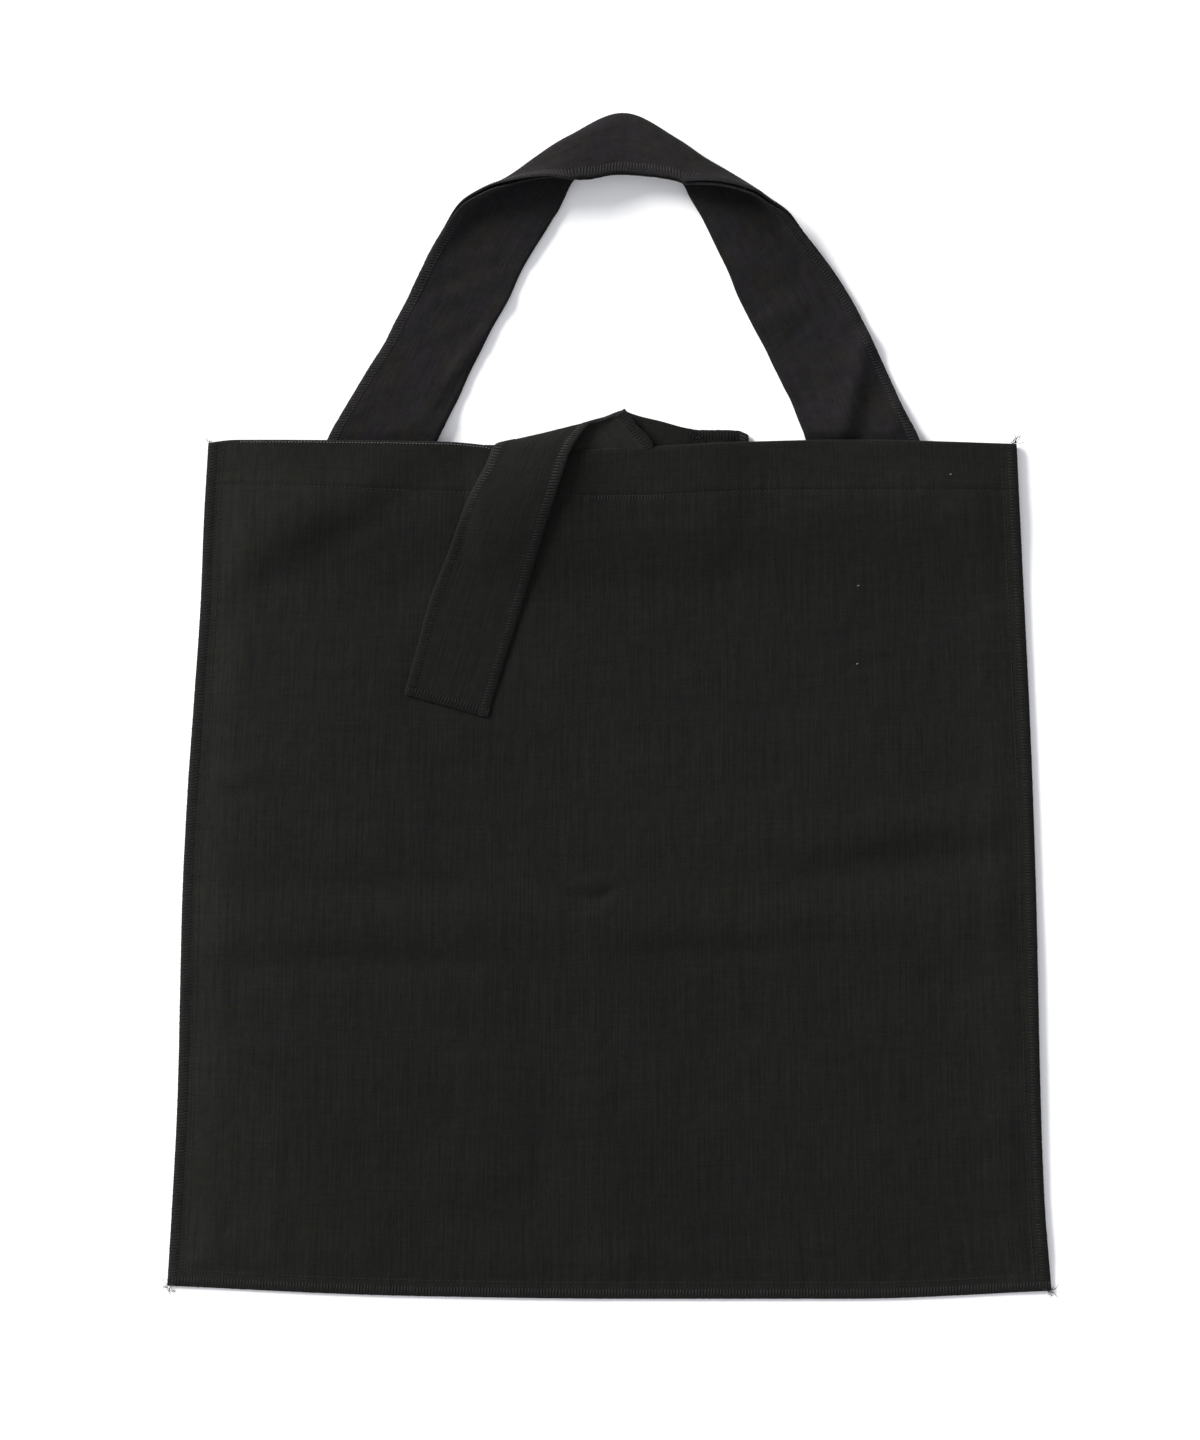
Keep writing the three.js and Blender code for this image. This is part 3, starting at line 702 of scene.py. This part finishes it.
def slab_mesh(name, sheet):
    """A closed sheet with softly rounded edges."""
    points, facing = sheet.points, sheet.facing
    across, along = points.shape[0] - 1, points.shape[1] - 1
    half = sheet.thickness / 2
    index = np.arange((across + 1) * (along + 1)).reshape(across + 1, along + 1)
    upper = (points + facing * half).reshape(-1, 3)
    lower = (points - facing * half).reshape(-1, 3)
    a, s = rim_loop(across, along)
    inner = points[np.clip(a, 1, across - 1), np.clip(s, 1, along - 1)]
    rim = points[a, s] + unit(points[a, s] - inner) * half * RIM_BULGE
    vertices = np.concatenate([upper, lower, rim]) * MM
    count = len(upper)
    quads = [index[:-1, :-1], index[1:, :-1], index[1:, 1:], index[:-1, 1:]]
    quads = np.stack(quads, axis=-1).reshape(-1, 4)
    under = quads[:, ::-1] + count
    p = index[a, s]
    q = np.roll(p, -1)
    r = 2 * count + np.arange(len(p))
    t = np.roll(r, -1)
    top_rim = np.stack([q, p, r, t], axis=-1)
    low_rim = np.stack([t, r, p + count, q + count], axis=-1)
    cut = sheet.cut.reshape(-1, 2)
    flat = np.concatenate([cut, cut, sheet.cut[a, s]]) * MM
    return make_object(name, vertices, [quads, under, top_rim, low_rim], flat)


# Threads

# Any direction that no thread starts in, from which its first side is turned.
ODD_DIRECTION = np.array([0.13, 0.21, 0.97])


def tubes(name, paths, radius, sides=5):
    """Round threads along paths of equally many points each: an array (threads, points, 3)."""
    paths = np.array(paths, float)
    paths[..., 2] = np.maximum(paths[..., 2], radius)
    count, steps = paths.shape[:2]
    along = unit(np.gradient(paths, axis=1))
    side = unit(np.cross(along[:, 0], ODD_DIRECTION))
    across = np.empty_like(paths)
    for k in range(steps):
        side = unit(side - along[:, k] * np.sum(side * along[:, k], axis=1, keepdims=True))
        across[:, k] = side
    other = np.cross(along, across)
    turn = np.arange(sides)[:, None] * 2 * math.pi / sides
    ring = across[:, :, None] * np.cos(turn) + other[:, :, None] * np.sin(turn)
    rings = paths[:, :, None] + ring * radius
    index = np.arange(count * steps * sides).reshape(count, steps, sides)
    this, following = index[:, :-1], index[:, 1:]
    walls = [this, np.roll(this, -1, axis=2), np.roll(following, -1, axis=2), following]
    walls = np.stack(walls, axis=-1).reshape(-1, 4)
    tips = np.concatenate([
        paths[:, 0] - along[:, 0] * radius * 0.5,
        paths[:, -1] + along[:, -1] * radius * 0.5,
    ])
    first, last = index[:, 0], index[:, -1]
    tip = index.size + np.arange(2 * count)[:, None] + np.zeros((1, sides), int)
    caps = np.concatenate([
        np.stack([np.roll(first, -1, axis=1), first, tip[:count]], axis=-1),
        np.stack([last, np.roll(last, -1, axis=1), tip[count:]], axis=-1),
    ])
    vertices = np.concatenate([rings.reshape(-1, 3), tips]) * MM
    return make_object(name, vertices, [walls, caps.reshape(-1, 3)])


class Edge:
    """Reads a sheet's surface by distance along one edge and distance in from it."""

    def __init__(self, points, facing):
        self.points = points
        self.facing = facing
        self.along = row_distances(points[0])
        self.spacing = np.linalg.norm(points[1] - points[0], axis=1)
        self.length = self.along[-1]

    def at(self, along, inward, up):
        j = np.interp(along, self.along, np.arange(len(self.along)))
        j0 = np.clip(np.floor(j).astype(int), 0, len(self.along) - 2)
        part = (j - j0)[..., None]
        k = inward / np.interp(along, self.along, self.spacing)
        k0 = np.clip(np.floor(k).astype(int), 0, self.points.shape[0] - 2)
        deep = (k - k0)[..., None]

        def read(grid):
            outer = grid[k0, j0] * (1 - part) + grid[k0, j0 + 1] * part
            inner = grid[k0 + 1, j0] * (1 - part) + grid[k0 + 1, j0 + 1] * part
            return outer * (1 - deep) + inner * deep

        return read(self.points) + read(self.facing) * np.asarray(up)[..., None]

    def passes(self, limit, falling):
        """How far along the edge its x first passes a limit."""
        x = self.points[0][:, 0]
        return self.along[np.argmax(x < limit if falling else x > limit)]


def edge_of(sheet, side, deep, until=None):
    """One side of a sheet as an edge some rows deep, up to some column."""
    grids = []
    for grid in (sheet.points, sheet.facing):
        if side == "right":
            grid = grid[::-1]
        if side == "end":
            grid = grid[:, ::-1]
        if side in ("start", "end"):
            grid = grid.swapaxes(0, 1)
        grids.append(grid[:deep, :until])
    return Edge(*grids)


OVERLOCK_WIDTH = 5.1
OVERLOCK_PITCH = 1.7
THREAD = 0.17

# One stitch of the upper looper: share of the pitch along, share of the width in, height over the
# cloth in thread radii. Below 0 it lies round the edge.
LOOPER = [
    (0.0, -0.05, -1.5),
    (0.06, 0.08, 0.5),
    (0.2, 0.5, 1.0),
    (0.3, 1.0, 0.8),
    (0.44, 0.98, 0.8),
    (0.5, 0.5, 1.0),
    (0.54, 0.1, 0.5),
    (0.6, -0.05, -1.5),
]
SLANT = 0.2
LOOP_WOBBLE = (0.06, 0.08)


def stitch_starts(edge, start, stop):
    """Where each stitch of an overlocked seam starts, and their exact pitch."""
    stop = edge.length if stop is None else stop
    count = int((stop - start) / OVERLOCK_PITCH)
    pitch = (stop - start) / count
    return start + np.arange(count)[:, None] * pitch, pitch


def overlock(name, edge, half, under=None, start=0.0, stop=None):
    """Overlock stitches over an edge: loops on both faces that meet round it."""
    base, pitch = stitch_starts(edge, start, stop)
    ahead, deep, rise = np.array(LOOPER).T
    wobble = random.normal(0, 1, (len(base), len(LOOPER), 2)) * LOOP_WOBBLE
    along = base + (ahead + SLANT * deep) * pitch + wobble[..., 0]
    inward = deep * OVERLOCK_WIDTH + wobble[..., 1]
    on_edge = rise < 0
    up = np.where(on_edge, 0, half + rise * THREAD)
    upper = edge.at(along, inward, up)
    if under is None:
        lower = edge.at(along + pitch / 2, inward, -up)
    else:
        lower = under.at(along + pitch / 2, inward, -np.where(on_edge, 0, half))
        middle = (edge.at(along, inward, 0) + under.at(along, inward, 0)) / 2
        upper = np.where(on_edge[:, None], middle, upper)
        lower = np.where(on_edge[:, None], middle, lower)
    return tubes(name, np.stack([upper.reshape(-1, 3), lower.reshape(-1, 3)]), THREAD)


# One straight stitch: share of its length along, height in thread radii.
STITCH = np.array([(-0.5, -1.2), (-0.36, 0.5), (0, 1.0), (0.36, 0.5), (0.5, -1.2)])
STITCH_WOBBLE = 0.06
STITCH_UNEVEN = 0.08

# How far to each side a line is read for its direction.
LINE_STEP = 0.2


def resample(line, pitch):
    """Places along a line, a pitch apart, and the direction of the line at each."""
    line = np.asarray(line, float)
    along = row_distances(line)
    places = np.arange(pitch / 2, along[-1], pitch)

    def read(at):
        return np.stack([np.interp(at, along, line[:, k]) for k in range(2)], axis=1)

    return read(places), unit(read(places + LINE_STEP) - read(places - LINE_STEP))


def straight_stitches(name, line, height, pitch, length, radius, upright=False):
    """A run of straight stitches along a line on a surface, or of upright ones across it."""
    spots, ahead = resample(line, pitch)
    if upright:
        ahead = np.stack([-ahead[:, 1], ahead[:, 0]], axis=1)
    wobble = random.normal(0, 1, (len(spots), 3))
    spots = spots + wobble[:, :2] * STITCH_WOBBLE
    reach = STITCH[:, 0] * length * (1 + STITCH_UNEVEN * wobble[:, 2:])
    x = spots[:, :1] + ahead[:, :1] * reach
    y = spots[:, 1:] + ahead[:, 1:] * reach
    z = height(x, y) + STITCH[:, 1] * radius
    return tubes(name, np.stack([x, y, z], axis=2), radius)


# The needle's stitches: how far in from the loops' ends, how high over the cloth, their length as
# a share of the pitch and their radius as a share of the thread's.
NEEDLE_INSET = 0.5
NEEDLE_RISE = 0.1
NEEDLE_LENGTH = 0.8
NEEDLE_RADIUS = 0.9


def needle_line(name, edge, half, start=0.0, stop=None):
    """The straight stitches along the inner side of an overlocked seam."""
    base, pitch = stitch_starts(edge, start, stop)
    along = base + pitch / 2 + STITCH[:, 0] * OVERLOCK_PITCH * NEEDLE_LENGTH
    up = half + NEEDLE_RISE + STITCH[:, 1] * THREAD
    path = edge.at(along, OVERLOCK_WIDTH - NEEDLE_INSET, up)
    return tubes(name, path, THREAD * NEEDLE_RADIUS)


# A sheet's top is read within this distance of a place, or a little past its nearest point.
READ_REACH = 1.3
READ_SLACK = 0.1


def top_of(sheet):
    """A function that reads the highest surface of a sheet near a place."""
    spots = sheet.points.reshape(-1, 3)

    def height(x, y):
        away = np.hypot(spots[:, 0] - x[..., None], spots[:, 1] - y[..., None])
        reach = np.maximum(READ_REACH, away.min(axis=-1, keepdims=True) + READ_SLACK)
        return np.where(away <= reach, spots[:, 2], -1).max(axis=-1) + sheet.thickness / 2

    return height


# Each loose thread's points, how far its start is scattered, the spread of its heading in degrees
# and of its bend in radians, and its radius.
LOOSE_POINTS = 8
LOOSE_SCATTER = 0.7
LOOSE_FAN = 34
LOOSE_CURL = 1.4
LOOSE_RADIUS = 0.13


def loose_threads(name, corner, heading, count, length):
    """A small tuft of thread ends at a corner, lying outward over the surface below."""
    steps = np.linspace(0, 1, LOOSE_POINTS)
    start = corner + random.normal(0, LOOSE_SCATTER, (count, 3)) * (1, 1, 0.3)
    turn = (heading + random.normal(0, LOOSE_FAN, count)) * DEGREE
    curl = random.normal(0, LOOSE_CURL, count)
    reach = length * random.uniform(0.5, 1.2, count)
    angle = turn[:, None] + curl[:, None] * steps
    step = reach[:, None] / (LOOSE_POINTS - 1)
    x = start[:, :1] + np.cumsum(np.cos(angle) * step, axis=1)
    y = start[:, 1:2] + np.cumsum(np.sin(angle) * step, axis=1)
    rise = random.uniform(-0.7, 0.5, count)[:, None]
    z = np.maximum(start[:, 2:] + rise * steps * 1.8, 0.3)
    return tubes(name, np.stack([x, y, z], axis=2), LOOSE_RADIUS, sides=4)


# The back tie's far part lies lower, beyond a slanting fold.
STEP_PLACE = (42.4, 153.1)
STEP_FACING = (0.61, 0.79)
STEP_DEPTH = 1.2


def back_tie_step(x, y):
    beyond = (x - STEP_PLACE[0]) * STEP_FACING[0] + (y - STEP_PLACE[1]) * STEP_FACING[1]
    return -STEP_DEPTH * ramp(beyond, -0.3, 1.1)


# The cloth

# Each panel's cells: across, below and above FINE_FROM, round the mouth's fold and down the hem.
FRONT_CELLS = (200, 150, 54, 8, 9)
BACK_CELLS = (110, 90, 10, 6, 6)

front = panel_sheet(front_mouth, creased_height, -1, *FRONT_CELLS)
back = panel_sheet(back_mouth, back_height, 1, *BACK_CELLS)
strap_front = handle_sheet(nested=False)
strap_back = handle_sheet(nested=True)
tie_on_front = tie_sheet(TIE_FRONT, swelled_height, 1.6, 28)
tie_on_back = tie_sheet(TIE_BACK, back_tie_step, 1.1, 48)


# Materials

class Nodes:
    """The nodes of a new material, round one shader."""

    def __init__(self, name, settings):
        self.material = bpy.data.materials.new(name)
        self.material.use_nodes = True
        self.tree = self.material.node_tree
        self.tree.nodes.clear()
        self.shader = self.new("BsdfPrincipled", settings)
        self.new("OutputMaterial", {"Surface": self.shader.outputs["BSDF"]})

    def put(self, slot, value):
        """Links an input to another node's output, or sets it to a number or colour."""
        if isinstance(value, bpy.types.NodeSocket):
            self.tree.links.new(value, slot)
        else:
            slot.default_value = value

    def new(self, kind, inputs, **properties):
        made = self.tree.nodes.new("ShaderNode" + kind)
        for key, value in properties.items():
            setattr(made, key, value)
        for key, value in inputs.items():
            self.put(made.inputs[key], value)
        return made

    def stretch(self, value, low, high, to_low, to_high):
        limits = {"From Min": low, "From Max": high, "To Min": to_low, "To Max": to_high}
        return self.new("MapRange", {"Value": value, **limits}).outputs["Result"]

    def maths(self, kind, first, second):
        return self.new("Math", {0: first, 1: second}, operation=kind).outputs["Value"]

    def times(self, first, second):
        return self.maths("MULTIPLY", first, second)

    def plus(self, first, second):
        return self.maths("ADD", first, second)

    def tinted(self, colour, shade):
        made = self.new("VectorMath", {0: colour, "Scale": shade}, operation="SCALE")
        return made.outputs["Vector"]

    def bump(self, height, strength, distance):
        inputs = {"Height": height, "Strength": strength, "Distance": distance}
        self.put(self.shader.inputs["Normal"], self.new("Bump", inputs).outputs["Normal"])


# Noise textures gather round 0.5, so their middle part is stretched.
NOISE_LOW = 0.3
NOISE_HIGH = 0.7

# Painted light and shade on the cloth: the axis, from and to in metres of cut cloth, and how
# much paler. On the panel, painted light makes it paler towards the sides, the top and the bottom
# edge, painted shade makes it darker across the lower middle, and a thin painted highlight lies
# along the mouth's fold.
PANEL_PAINTED_LIGHT = [
    ("X", 0.165, 0.236, 0.2),
    ("X", -0.165, -0.236, 0.26),
    ("X", -0.06, -0.2, 0.15),
    ("Y", 0.075, 0.15, 0.02),
    ("Y", 0.0, -0.25, -0.08),
    ("Y", -0.27, -0.327, 0.22),
    ("Y", 0.1463, 0.1468, 0.8),
]
# On the ties, painted light makes them paler where they rise out of the mouth and over the crest.
TIE_PAINTED_LIGHT = [("Y", 0.09, 0.045, 0.5)]
# On the straps, painted light makes the crown paler, and painted shade darkens the right leg's top
# under the band and both feet by the mouth.
STRAP_PAINTED_LIGHT_AND_SHADE = [
    ("Y", 0.09, 0.04, -0.1),
    ("Y", 0.155, 0.2, 0.14),
    ("Y", 0.275, 0.32, -0.2),
    ("Y", 0.36, 0.41, 0.1),
    ("Y", 0.42, 0.46, -0.1),
]
PAINTED_LIGHT_POWER = 1.6

# The cloth's textures: cells to a metre across and along it, detail and roughness.
WARP_SLUBS = (900, 22, 3, 0.6)
WEFT_SLUBS = (30, 800, 3, 0.6)
GRAIN = (1300, 1300, 3, 0.75)
BLOTCH = (190, 150, 4, 0.65)
WEAR = (14, 11, 2, 0.5)

# How much each changes the shade.
WEFT_SHARE = 0.42
GRAIN_SHADE = 0.26
BLOTCH_SHADE = 0.11
WEAR_SHADE = 0.05

# The two hues that the cloth wanders between.
WARM_TINT = (1.03, 1.03, 0.93)
COOL_TINT = (0.98, 0.95, 1.12)

# Heights in metres.
YARN_HEIGHT = 0.00006
SLUB_HEIGHT = 0.00006
BLOTCH_HEIGHT = 0.00012
GRAIN_HEIGHT = 0.00003
YARN = {"Scale": 620, "Distortion": 0.9, "Detail": 2, "Detail Scale": 1.5}
CLOTH_SHEEN = {"Specular IOR Level": 0.03, "Sheen Weight": 0.02, "Sheen Roughness": 0.5}


def cloth_material(name, base, streak, roughness, painted_light_steps, mottle=1.0, hue_size=260):
    """Near-black plain weave: yarn bump, slubs both ways, mottling and a slight change of hue."""
    nodes = Nodes(name, CLOTH_SHEEN)
    new, stretch, times, plus = nodes.new, nodes.stretch, nodes.times, nodes.plus
    cut = new("UVMap", {}, uv_map="cloth").outputs["UV"]

    def texture(scale_x, scale_y, detail, rough):
        place = new("Mapping", {"Vector": cut, "Scale": (scale_x, scale_y, 1)}).outputs["Vector"]
        inputs = {"Vector": place, "Scale": 1.0, "Detail": detail, "Roughness": rough}
        return new("TexNoise", inputs).outputs["Fac"]

    def uneven(settings):
        return stretch(texture(*settings), NOISE_LOW, NOISE_HIGH, -1, 1)

    warp_slubs, weft_slubs, grain = uneven(WARP_SLUBS), uneven(WEFT_SLUBS), uneven(GRAIN)
    blotch, wear = uneven(BLOTCH), uneven(WEAR)
    total = times(warp_slubs, streak)
    total = plus(total, times(weft_slubs, streak * WEFT_SHARE))
    total = plus(total, times(grain, GRAIN_SHADE))
    total = plus(total, times(blotch, BLOTCH_SHADE * mottle))
    total = plus(total, times(wear, WEAR_SHADE * mottle))
    shade = plus(total, 1.0)
    place = new("SeparateXYZ", {"Vector": cut})
    # Painted light and shade: each step makes the shade paler or darker along the cut cloth.
    for axis, inner, outer, paler in painted_light_steps:
        along = stretch(place.outputs[axis], inner, outer, 0, 1)
        painted_share = nodes.maths("POWER", along, PAINTED_LIGHT_POWER)
        shade = times(shade, plus(times(painted_share, paler), 1.0))

    def hue(tint):
        return nodes.tinted([channel * share for channel, share in zip(base, tint)], shade)

    wander = stretch(texture(hue_size, hue_size * 0.8, 4, 0.7), 0.38, 0.62, 0, 1)
    hues = {"Factor": wander, "A": hue(WARM_TINT), "B": hue(COOL_TINT)}
    colour = new("Mix", hues, data_type="RGBA").outputs["Result"]
    nodes.put(nodes.shader.inputs["Base Color"], colour)
    rough = stretch(blotch, -1, 1, roughness - 0.05, roughness + 0.05)
    nodes.put(nodes.shader.inputs["Roughness"], rough)

    yarns = [
        new("TexWave", {"Vector": cut, **YARN}, bands_direction=direction).outputs["Fac"]
        for direction in ("X", "Y")
    ]
    weave = times(plus(*yarns), YARN_HEIGHT)
    slubs = times(plus(warp_slubs, times(weft_slubs, 0.7)), SLUB_HEIGHT)
    soft = plus(times(blotch, BLOTCH_HEIGHT), times(grain, GRAIN_HEIGHT))
    nodes.bump(plus(plus(weave, slubs), soft), 1.0, 1.0)
    return nodes.material


# The y, in metres, over which a tie's thread turns paler.
PALER_Y = (0.1, 0.14)


def thread_material(name, base, roughness=0.65, paler=0.0):
    """Spun thread, flecked, and paler where a tie turns over the mouth."""
    nodes = Nodes(name, {"Roughness": roughness, "Specular IOR Level": 0.1})
    place = nodes.new("TexCoord", {}).outputs["Object"]
    fleck = nodes.new("TexNoise", {"Vector": place, "Scale": 900, "Detail": 3}).outputs["Fac"]
    flecked = nodes.stretch(fleck, NOISE_LOW, NOISE_HIGH, 0.7, 1.3)
    along = nodes.new("SeparateXYZ", {"Vector": place}).outputs["Y"]
    paler_over_mouth = nodes.stretch(along, *PALER_Y, 1.0, 1.0 + paler)
    colour = nodes.tinted(base, nodes.times(flecked, paler_over_mouth))
    nodes.put(nodes.shader.inputs["Base Color"], colour)
    nodes.bump(fleck, 0.5, 0.0001)
    return nodes.material


panel_cloth = cloth_material("panel_cloth", (0.0084, 0.0084, 0.0073), 0.2, 0.9, PANEL_PAINTED_LIGHT)
strap_cloth = cloth_material(
    "strap_cloth", (0.0113, 0.0106, 0.0106), 0.15, 0.88, STRAP_PAINTED_LIGHT_AND_SHADE, 1.7, 60,
)
tie_cloth = cloth_material("tie_cloth", (0.0081, 0.0081, 0.0071), 0.17, 0.88, TIE_PAINTED_LIGHT)
seam_thread = thread_material("seam_thread", (0.0165, 0.016, 0.016))
# A darker copy of the seam thread: painted shade for seams that lie in shade.
shade_painted_thread = thread_material("shade_painted_thread", (0.012, 0.0116, 0.0114))
strap_thread = thread_material("strap_thread", (0.027, 0.0253, 0.0262))
shaded_thread = thread_material("shaded_thread", (0.0185, 0.0174, 0.018))
tie_threads = thread_material("tie_threads", (0.0098, 0.0096, 0.0092), paler=2.0)
worn_thread = thread_material("worn_thread", (0.075, 0.071, 0.072))
lint_fibre = thread_material("lint_fibre", (0.22, 0.21, 0.2), 0.9)


# Pieces

def cloth_piece(name, sheet, material, slot, node):
    piece = slab_mesh(name, sheet)
    piece.data.materials.append(material)
    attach(piece, "root")
    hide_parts(node)
    return piece


def thread_piece(made, material):
    made.data.materials.append(material)
    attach(made, "root")
    return made


front_piece, back_piece, strap_piece, nested_piece, tie_piece, tie_back_piece = (
    cloth_piece(*row) for row in (
        ("front_cloth", front, panel_cloth, "panel_cloth", "front_panel"),
        ("back_cloth", back, panel_cloth, "panel_cloth", "back_panel"),
        ("front_strap", strap_front, strap_cloth, "strap_cloth", "handle_front"),
        ("back_strap", strap_back, strap_cloth, "strap_cloth", "handle_back"),
        ("front_tie", tie_on_front, tie_cloth, "tie_cloth", "tie_front"),
        ("back_tie", tie_on_back, tie_cloth, "tie_cloth", "tie_back"),
    )
)


# Overlocked seams

# How many rows deep the edges are read.
PANEL_DEEP = 12
STRAP_DEEP = 10
TIE_DEEP = 6


def panel_seam(name, side, thread):
    """The seam that joins one side of the two panels, up to the mouth's fold."""
    edge, under = (
        edge_of(sheet, side, PANEL_DEEP, None if side == "start" else cells[1] + cells[2] + 1)
        for sheet, cells in ((front, FRONT_CELLS), (back, BACK_CELLS))
    )
    return thread_piece(overlock(name, edge, PLY / 2, under), thread)


# The right side's seam has the thread with painted shade.
side_seams = [
    panel_seam("seam_left", "left", seam_thread),
    panel_seam("seam_right", "right", shade_painted_thread),
    panel_seam("seam_bottom", "start", seam_thread),
]

# The x at which the front strap's seam comes down its right leg, into shade.
RIGHT_LEG = 96

strap_edge = edge_of(strap_front, "left", STRAP_DEEP)
right_leg = strap_edge.passes(RIGHT_LEG, falling=False)
for side, thread, limits in (
    ("left", strap_thread, {"stop": right_leg}),
    ("right", shaded_thread, {"start": right_leg}),
):
    for kind, stitch in (("seam", overlock), ("needle", needle_line)):
        made = stitch(f"strap_{kind}_{side}", strap_edge, STRAP / 2, **limits)
        thread_piece(made, thread)
nested_seam = thread_piece(
    overlock("back_strap_seam", edge_of(strap_back, "left", STRAP_DEEP), STRAP / 2),
    strap_thread,
)

# The x at which the front tie's right edge starts along the crest and at which it leaves it. Its
# stitches have painted shade up to the crest and are paler past it.
CREST_START = 8.5
CREST_END = -14


def tie_seam(name, stitch, edge, thread=tie_threads, **limits):
    return thread_piece(stitch(name, edge, PLY / 2, **limits), thread)


def tie_edges(sheet):
    return [edge_of(sheet, side, TIE_DEEP) for side in ("left", "right", "end")]


tie_left, tie_right, tie_end = tie_edges(tie_on_front)
crest = tie_right.passes(CREST_START, falling=True)
past_crest = tie_right.passes(CREST_END, falling=True)
tie_seams = [
    tie_seam("tie_seam_left", overlock, tie_left),
    tie_seam("tie_needle_left", needle_line, tie_left),
    tie_seam("tie_seam_root", overlock, tie_right, shade_painted_thread, stop=crest),
    tie_seam("tie_seam_right", overlock, tie_right, start=crest),
    tie_seam("tie_needle_right", needle_line, tie_right, start=past_crest),
    tie_seam("tie_seam_end", overlock, tie_end),
    tie_seam("tie_needle_end", needle_line, tie_end),
]
other_left, other_right, other_end = tie_edges(tie_on_back)
past_step = other_right.passes(STEP_PLACE[0], falling=False)
# The back tie's right edge past its step has the thread with painted shade.
other_seams = [
    tie_seam("back_tie_seam_left", overlock, other_left),
    tie_seam("back_tie_seam_right", overlock, other_right, shade_painted_thread, start=past_step),
    tie_seam("back_tie_seam_end", overlock, other_end),
    thread_piece(straight_stitches(
        "back_tie_ladder", [(42.6, 152.2), (52.0, 146.0)], top_of(tie_on_back), 1.5, 3.2, THREAD,
        upright=True,
    ), seam_thread),
]


# Straight seams and loose fibres of the front panel

def panel_top(x, y):
    return creased_height(x, y) + PLY / 2


def side_line(side, inset):
    """Places up the panel, an inset to the right of one side."""
    y = np.linspace(-312, 143, 60)
    return np.stack([side(y) + inset, y], axis=1)


def cross_line(low, high, count, curve, inset=0.0):
    """Places across the panel, an inset above a curve."""
    x = np.linspace(low, high, count)
    return np.stack([x, curve(x) + inset], axis=1)


# Each line, the stitches' pitch, their length and the thread's radius.
STRAIGHT_SEAMS = {
    "hem_stitches": (cross_line(-213, 216, 120, hem_line), 2.4, 1.9, 0.2),
    "side_stitches_left": (side_line(left_side, SEAM_INSET), 2.4, 1.9, 0.18),
    "side_stitches_right": (side_line(right_side, -SEAM_INSET), 2.4, 1.9, 0.18),
    "bottom_stitches": (cross_line(-233, 233, 120, bottom_edge, SEAM_INSET), 2.4, 1.9, 0.18),
    "hem_ladder": ([(-12, 114.8), (31, 115.4)], 1.7, 2.6, 0.2),
}

# Each tuft's corner, heading in degrees, number of threads and their length.
TUFTS = {
    "threads_top_right": ((222, 145, 3.2), 65, 12, 5),
    "threads_top_left": ((-219.5, 145, 3.2), 120, 7, 3.5),
    "threads_low_left": ((-242, -317.5, 1.6), 225, 10, 4.5),
    "threads_low_right": ((242, -320, 1.6), -40, 10, 4.5),
}

for name, (line, *measures) in STRAIGHT_SEAMS.items():
    made = straight_stitches(name, line, panel_top, *measures, upright=name == "hem_ladder")
    thread_piece(made, seam_thread)
for name, tuft in TUFTS.items():
    made = loose_threads(name, *tuft)
    thread_piece(made, seam_thread)
made = straight_stitches(
    "mouth_stitches", cross_line(-203, -60, 60, front_mouth, -1.3), panel_top, 1.75, 0.85, 0.3,
)
thread_piece(made, worn_thread)


def lint(name, places, height):
    """Pale specks of fibre lying on the cloth."""
    x = np.array(places)[:, :1] + np.array([[-0.5, -0.2, 0.2, 0.5]])
    y = np.array(places)[:, 1:] + np.array([[-0.3, 0.25, -0.1, 0.3]])
    z = height(x, y) + 0.2
    made = tubes(name, np.stack([x, y, z], axis=2), THREAD, sides=4)
    return thread_piece(made, lint_fibre)


lint("panel_lint", [(136.7, 66.8), (136.1, 23.9), (187.3, 127.9)], panel_top)
lint("strap_lint", [(74.5, 284.1)], top_of(strap_front))


# Stage

FLOOR_HALF = 6.0
KEY_TOWARDS = (-0.82, 0.57, 0.53)
KEY_ANGLE = 26
KEY_STRENGTH = 6.0
KEY_COLOUR = (1.0, 0.99, 0.97)
ROOM_COLOUR = (0.95, 0.96, 1.0)
ROOM_STRENGTH = 0.8

# The camera looks straight down. The picture's height in metres and the spot at its middle.
PICTURE_HIGH = 0.792
PICTURE_MIDDLE = (-0.0052, -0.0069)
LENS = 180.0
SENSOR = 36.0


def make_floor():
    vertices = np.array([(-1, -1, 0), (1, -1, 0), (1, 1, 0), (-1, 1, 0)]) * FLOOR_HALF
    floor = make_object("floor", vertices, [np.array([[0, 1, 2, 3]])])
    paper = {"Base Color": (0.9, 0.9, 0.905, 1), "Roughness": 0.95, "Specular IOR Level": 0.1}
    floor.data.materials.append(Nodes("floor_paper", paper).material)


def make_key():
    """A soft key light from far away."""
    data = bpy.data.lights.new("key", "SUN")
    data.energy = KEY_STRENGTH
    data.angle = KEY_ANGLE * DEGREE
    data.color = KEY_COLOUR
    light = bpy.data.objects.new("key", data)
    light.location = Vector(KEY_TOWARDS) * 3
    light.rotation_euler = Vector(KEY_TOWARDS).to_track_quat("Z", "Y").to_euler()
    scene.collection.objects.link(light)


def make_world():
    world = bpy.data.worlds.new("soft_room")
    world.use_nodes = True
    background = world.node_tree.nodes["Background"]
    background.inputs["Color"].default_value = (*ROOM_COLOUR, 1)
    background.inputs["Strength"].default_value = ROOM_STRENGTH
    scene.world = world


def make_camera():
    data = bpy.data.cameras.new("photo_camera")
    data.lens = LENS
    data.sensor_width = SENSOR
    data.clip_end = 100
    camera = bpy.data.objects.new("photo_camera", data)
    camera.location = (*PICTURE_MIDDLE, PICTURE_HIGH * LENS / SENSOR)
    scene.collection.objects.link(camera)
    scene.camera = camera


make_floor()
make_world()
make_key()
make_camera()
scene.view_settings.view_transform = "Standard"
bpy.context.view_layer.update()
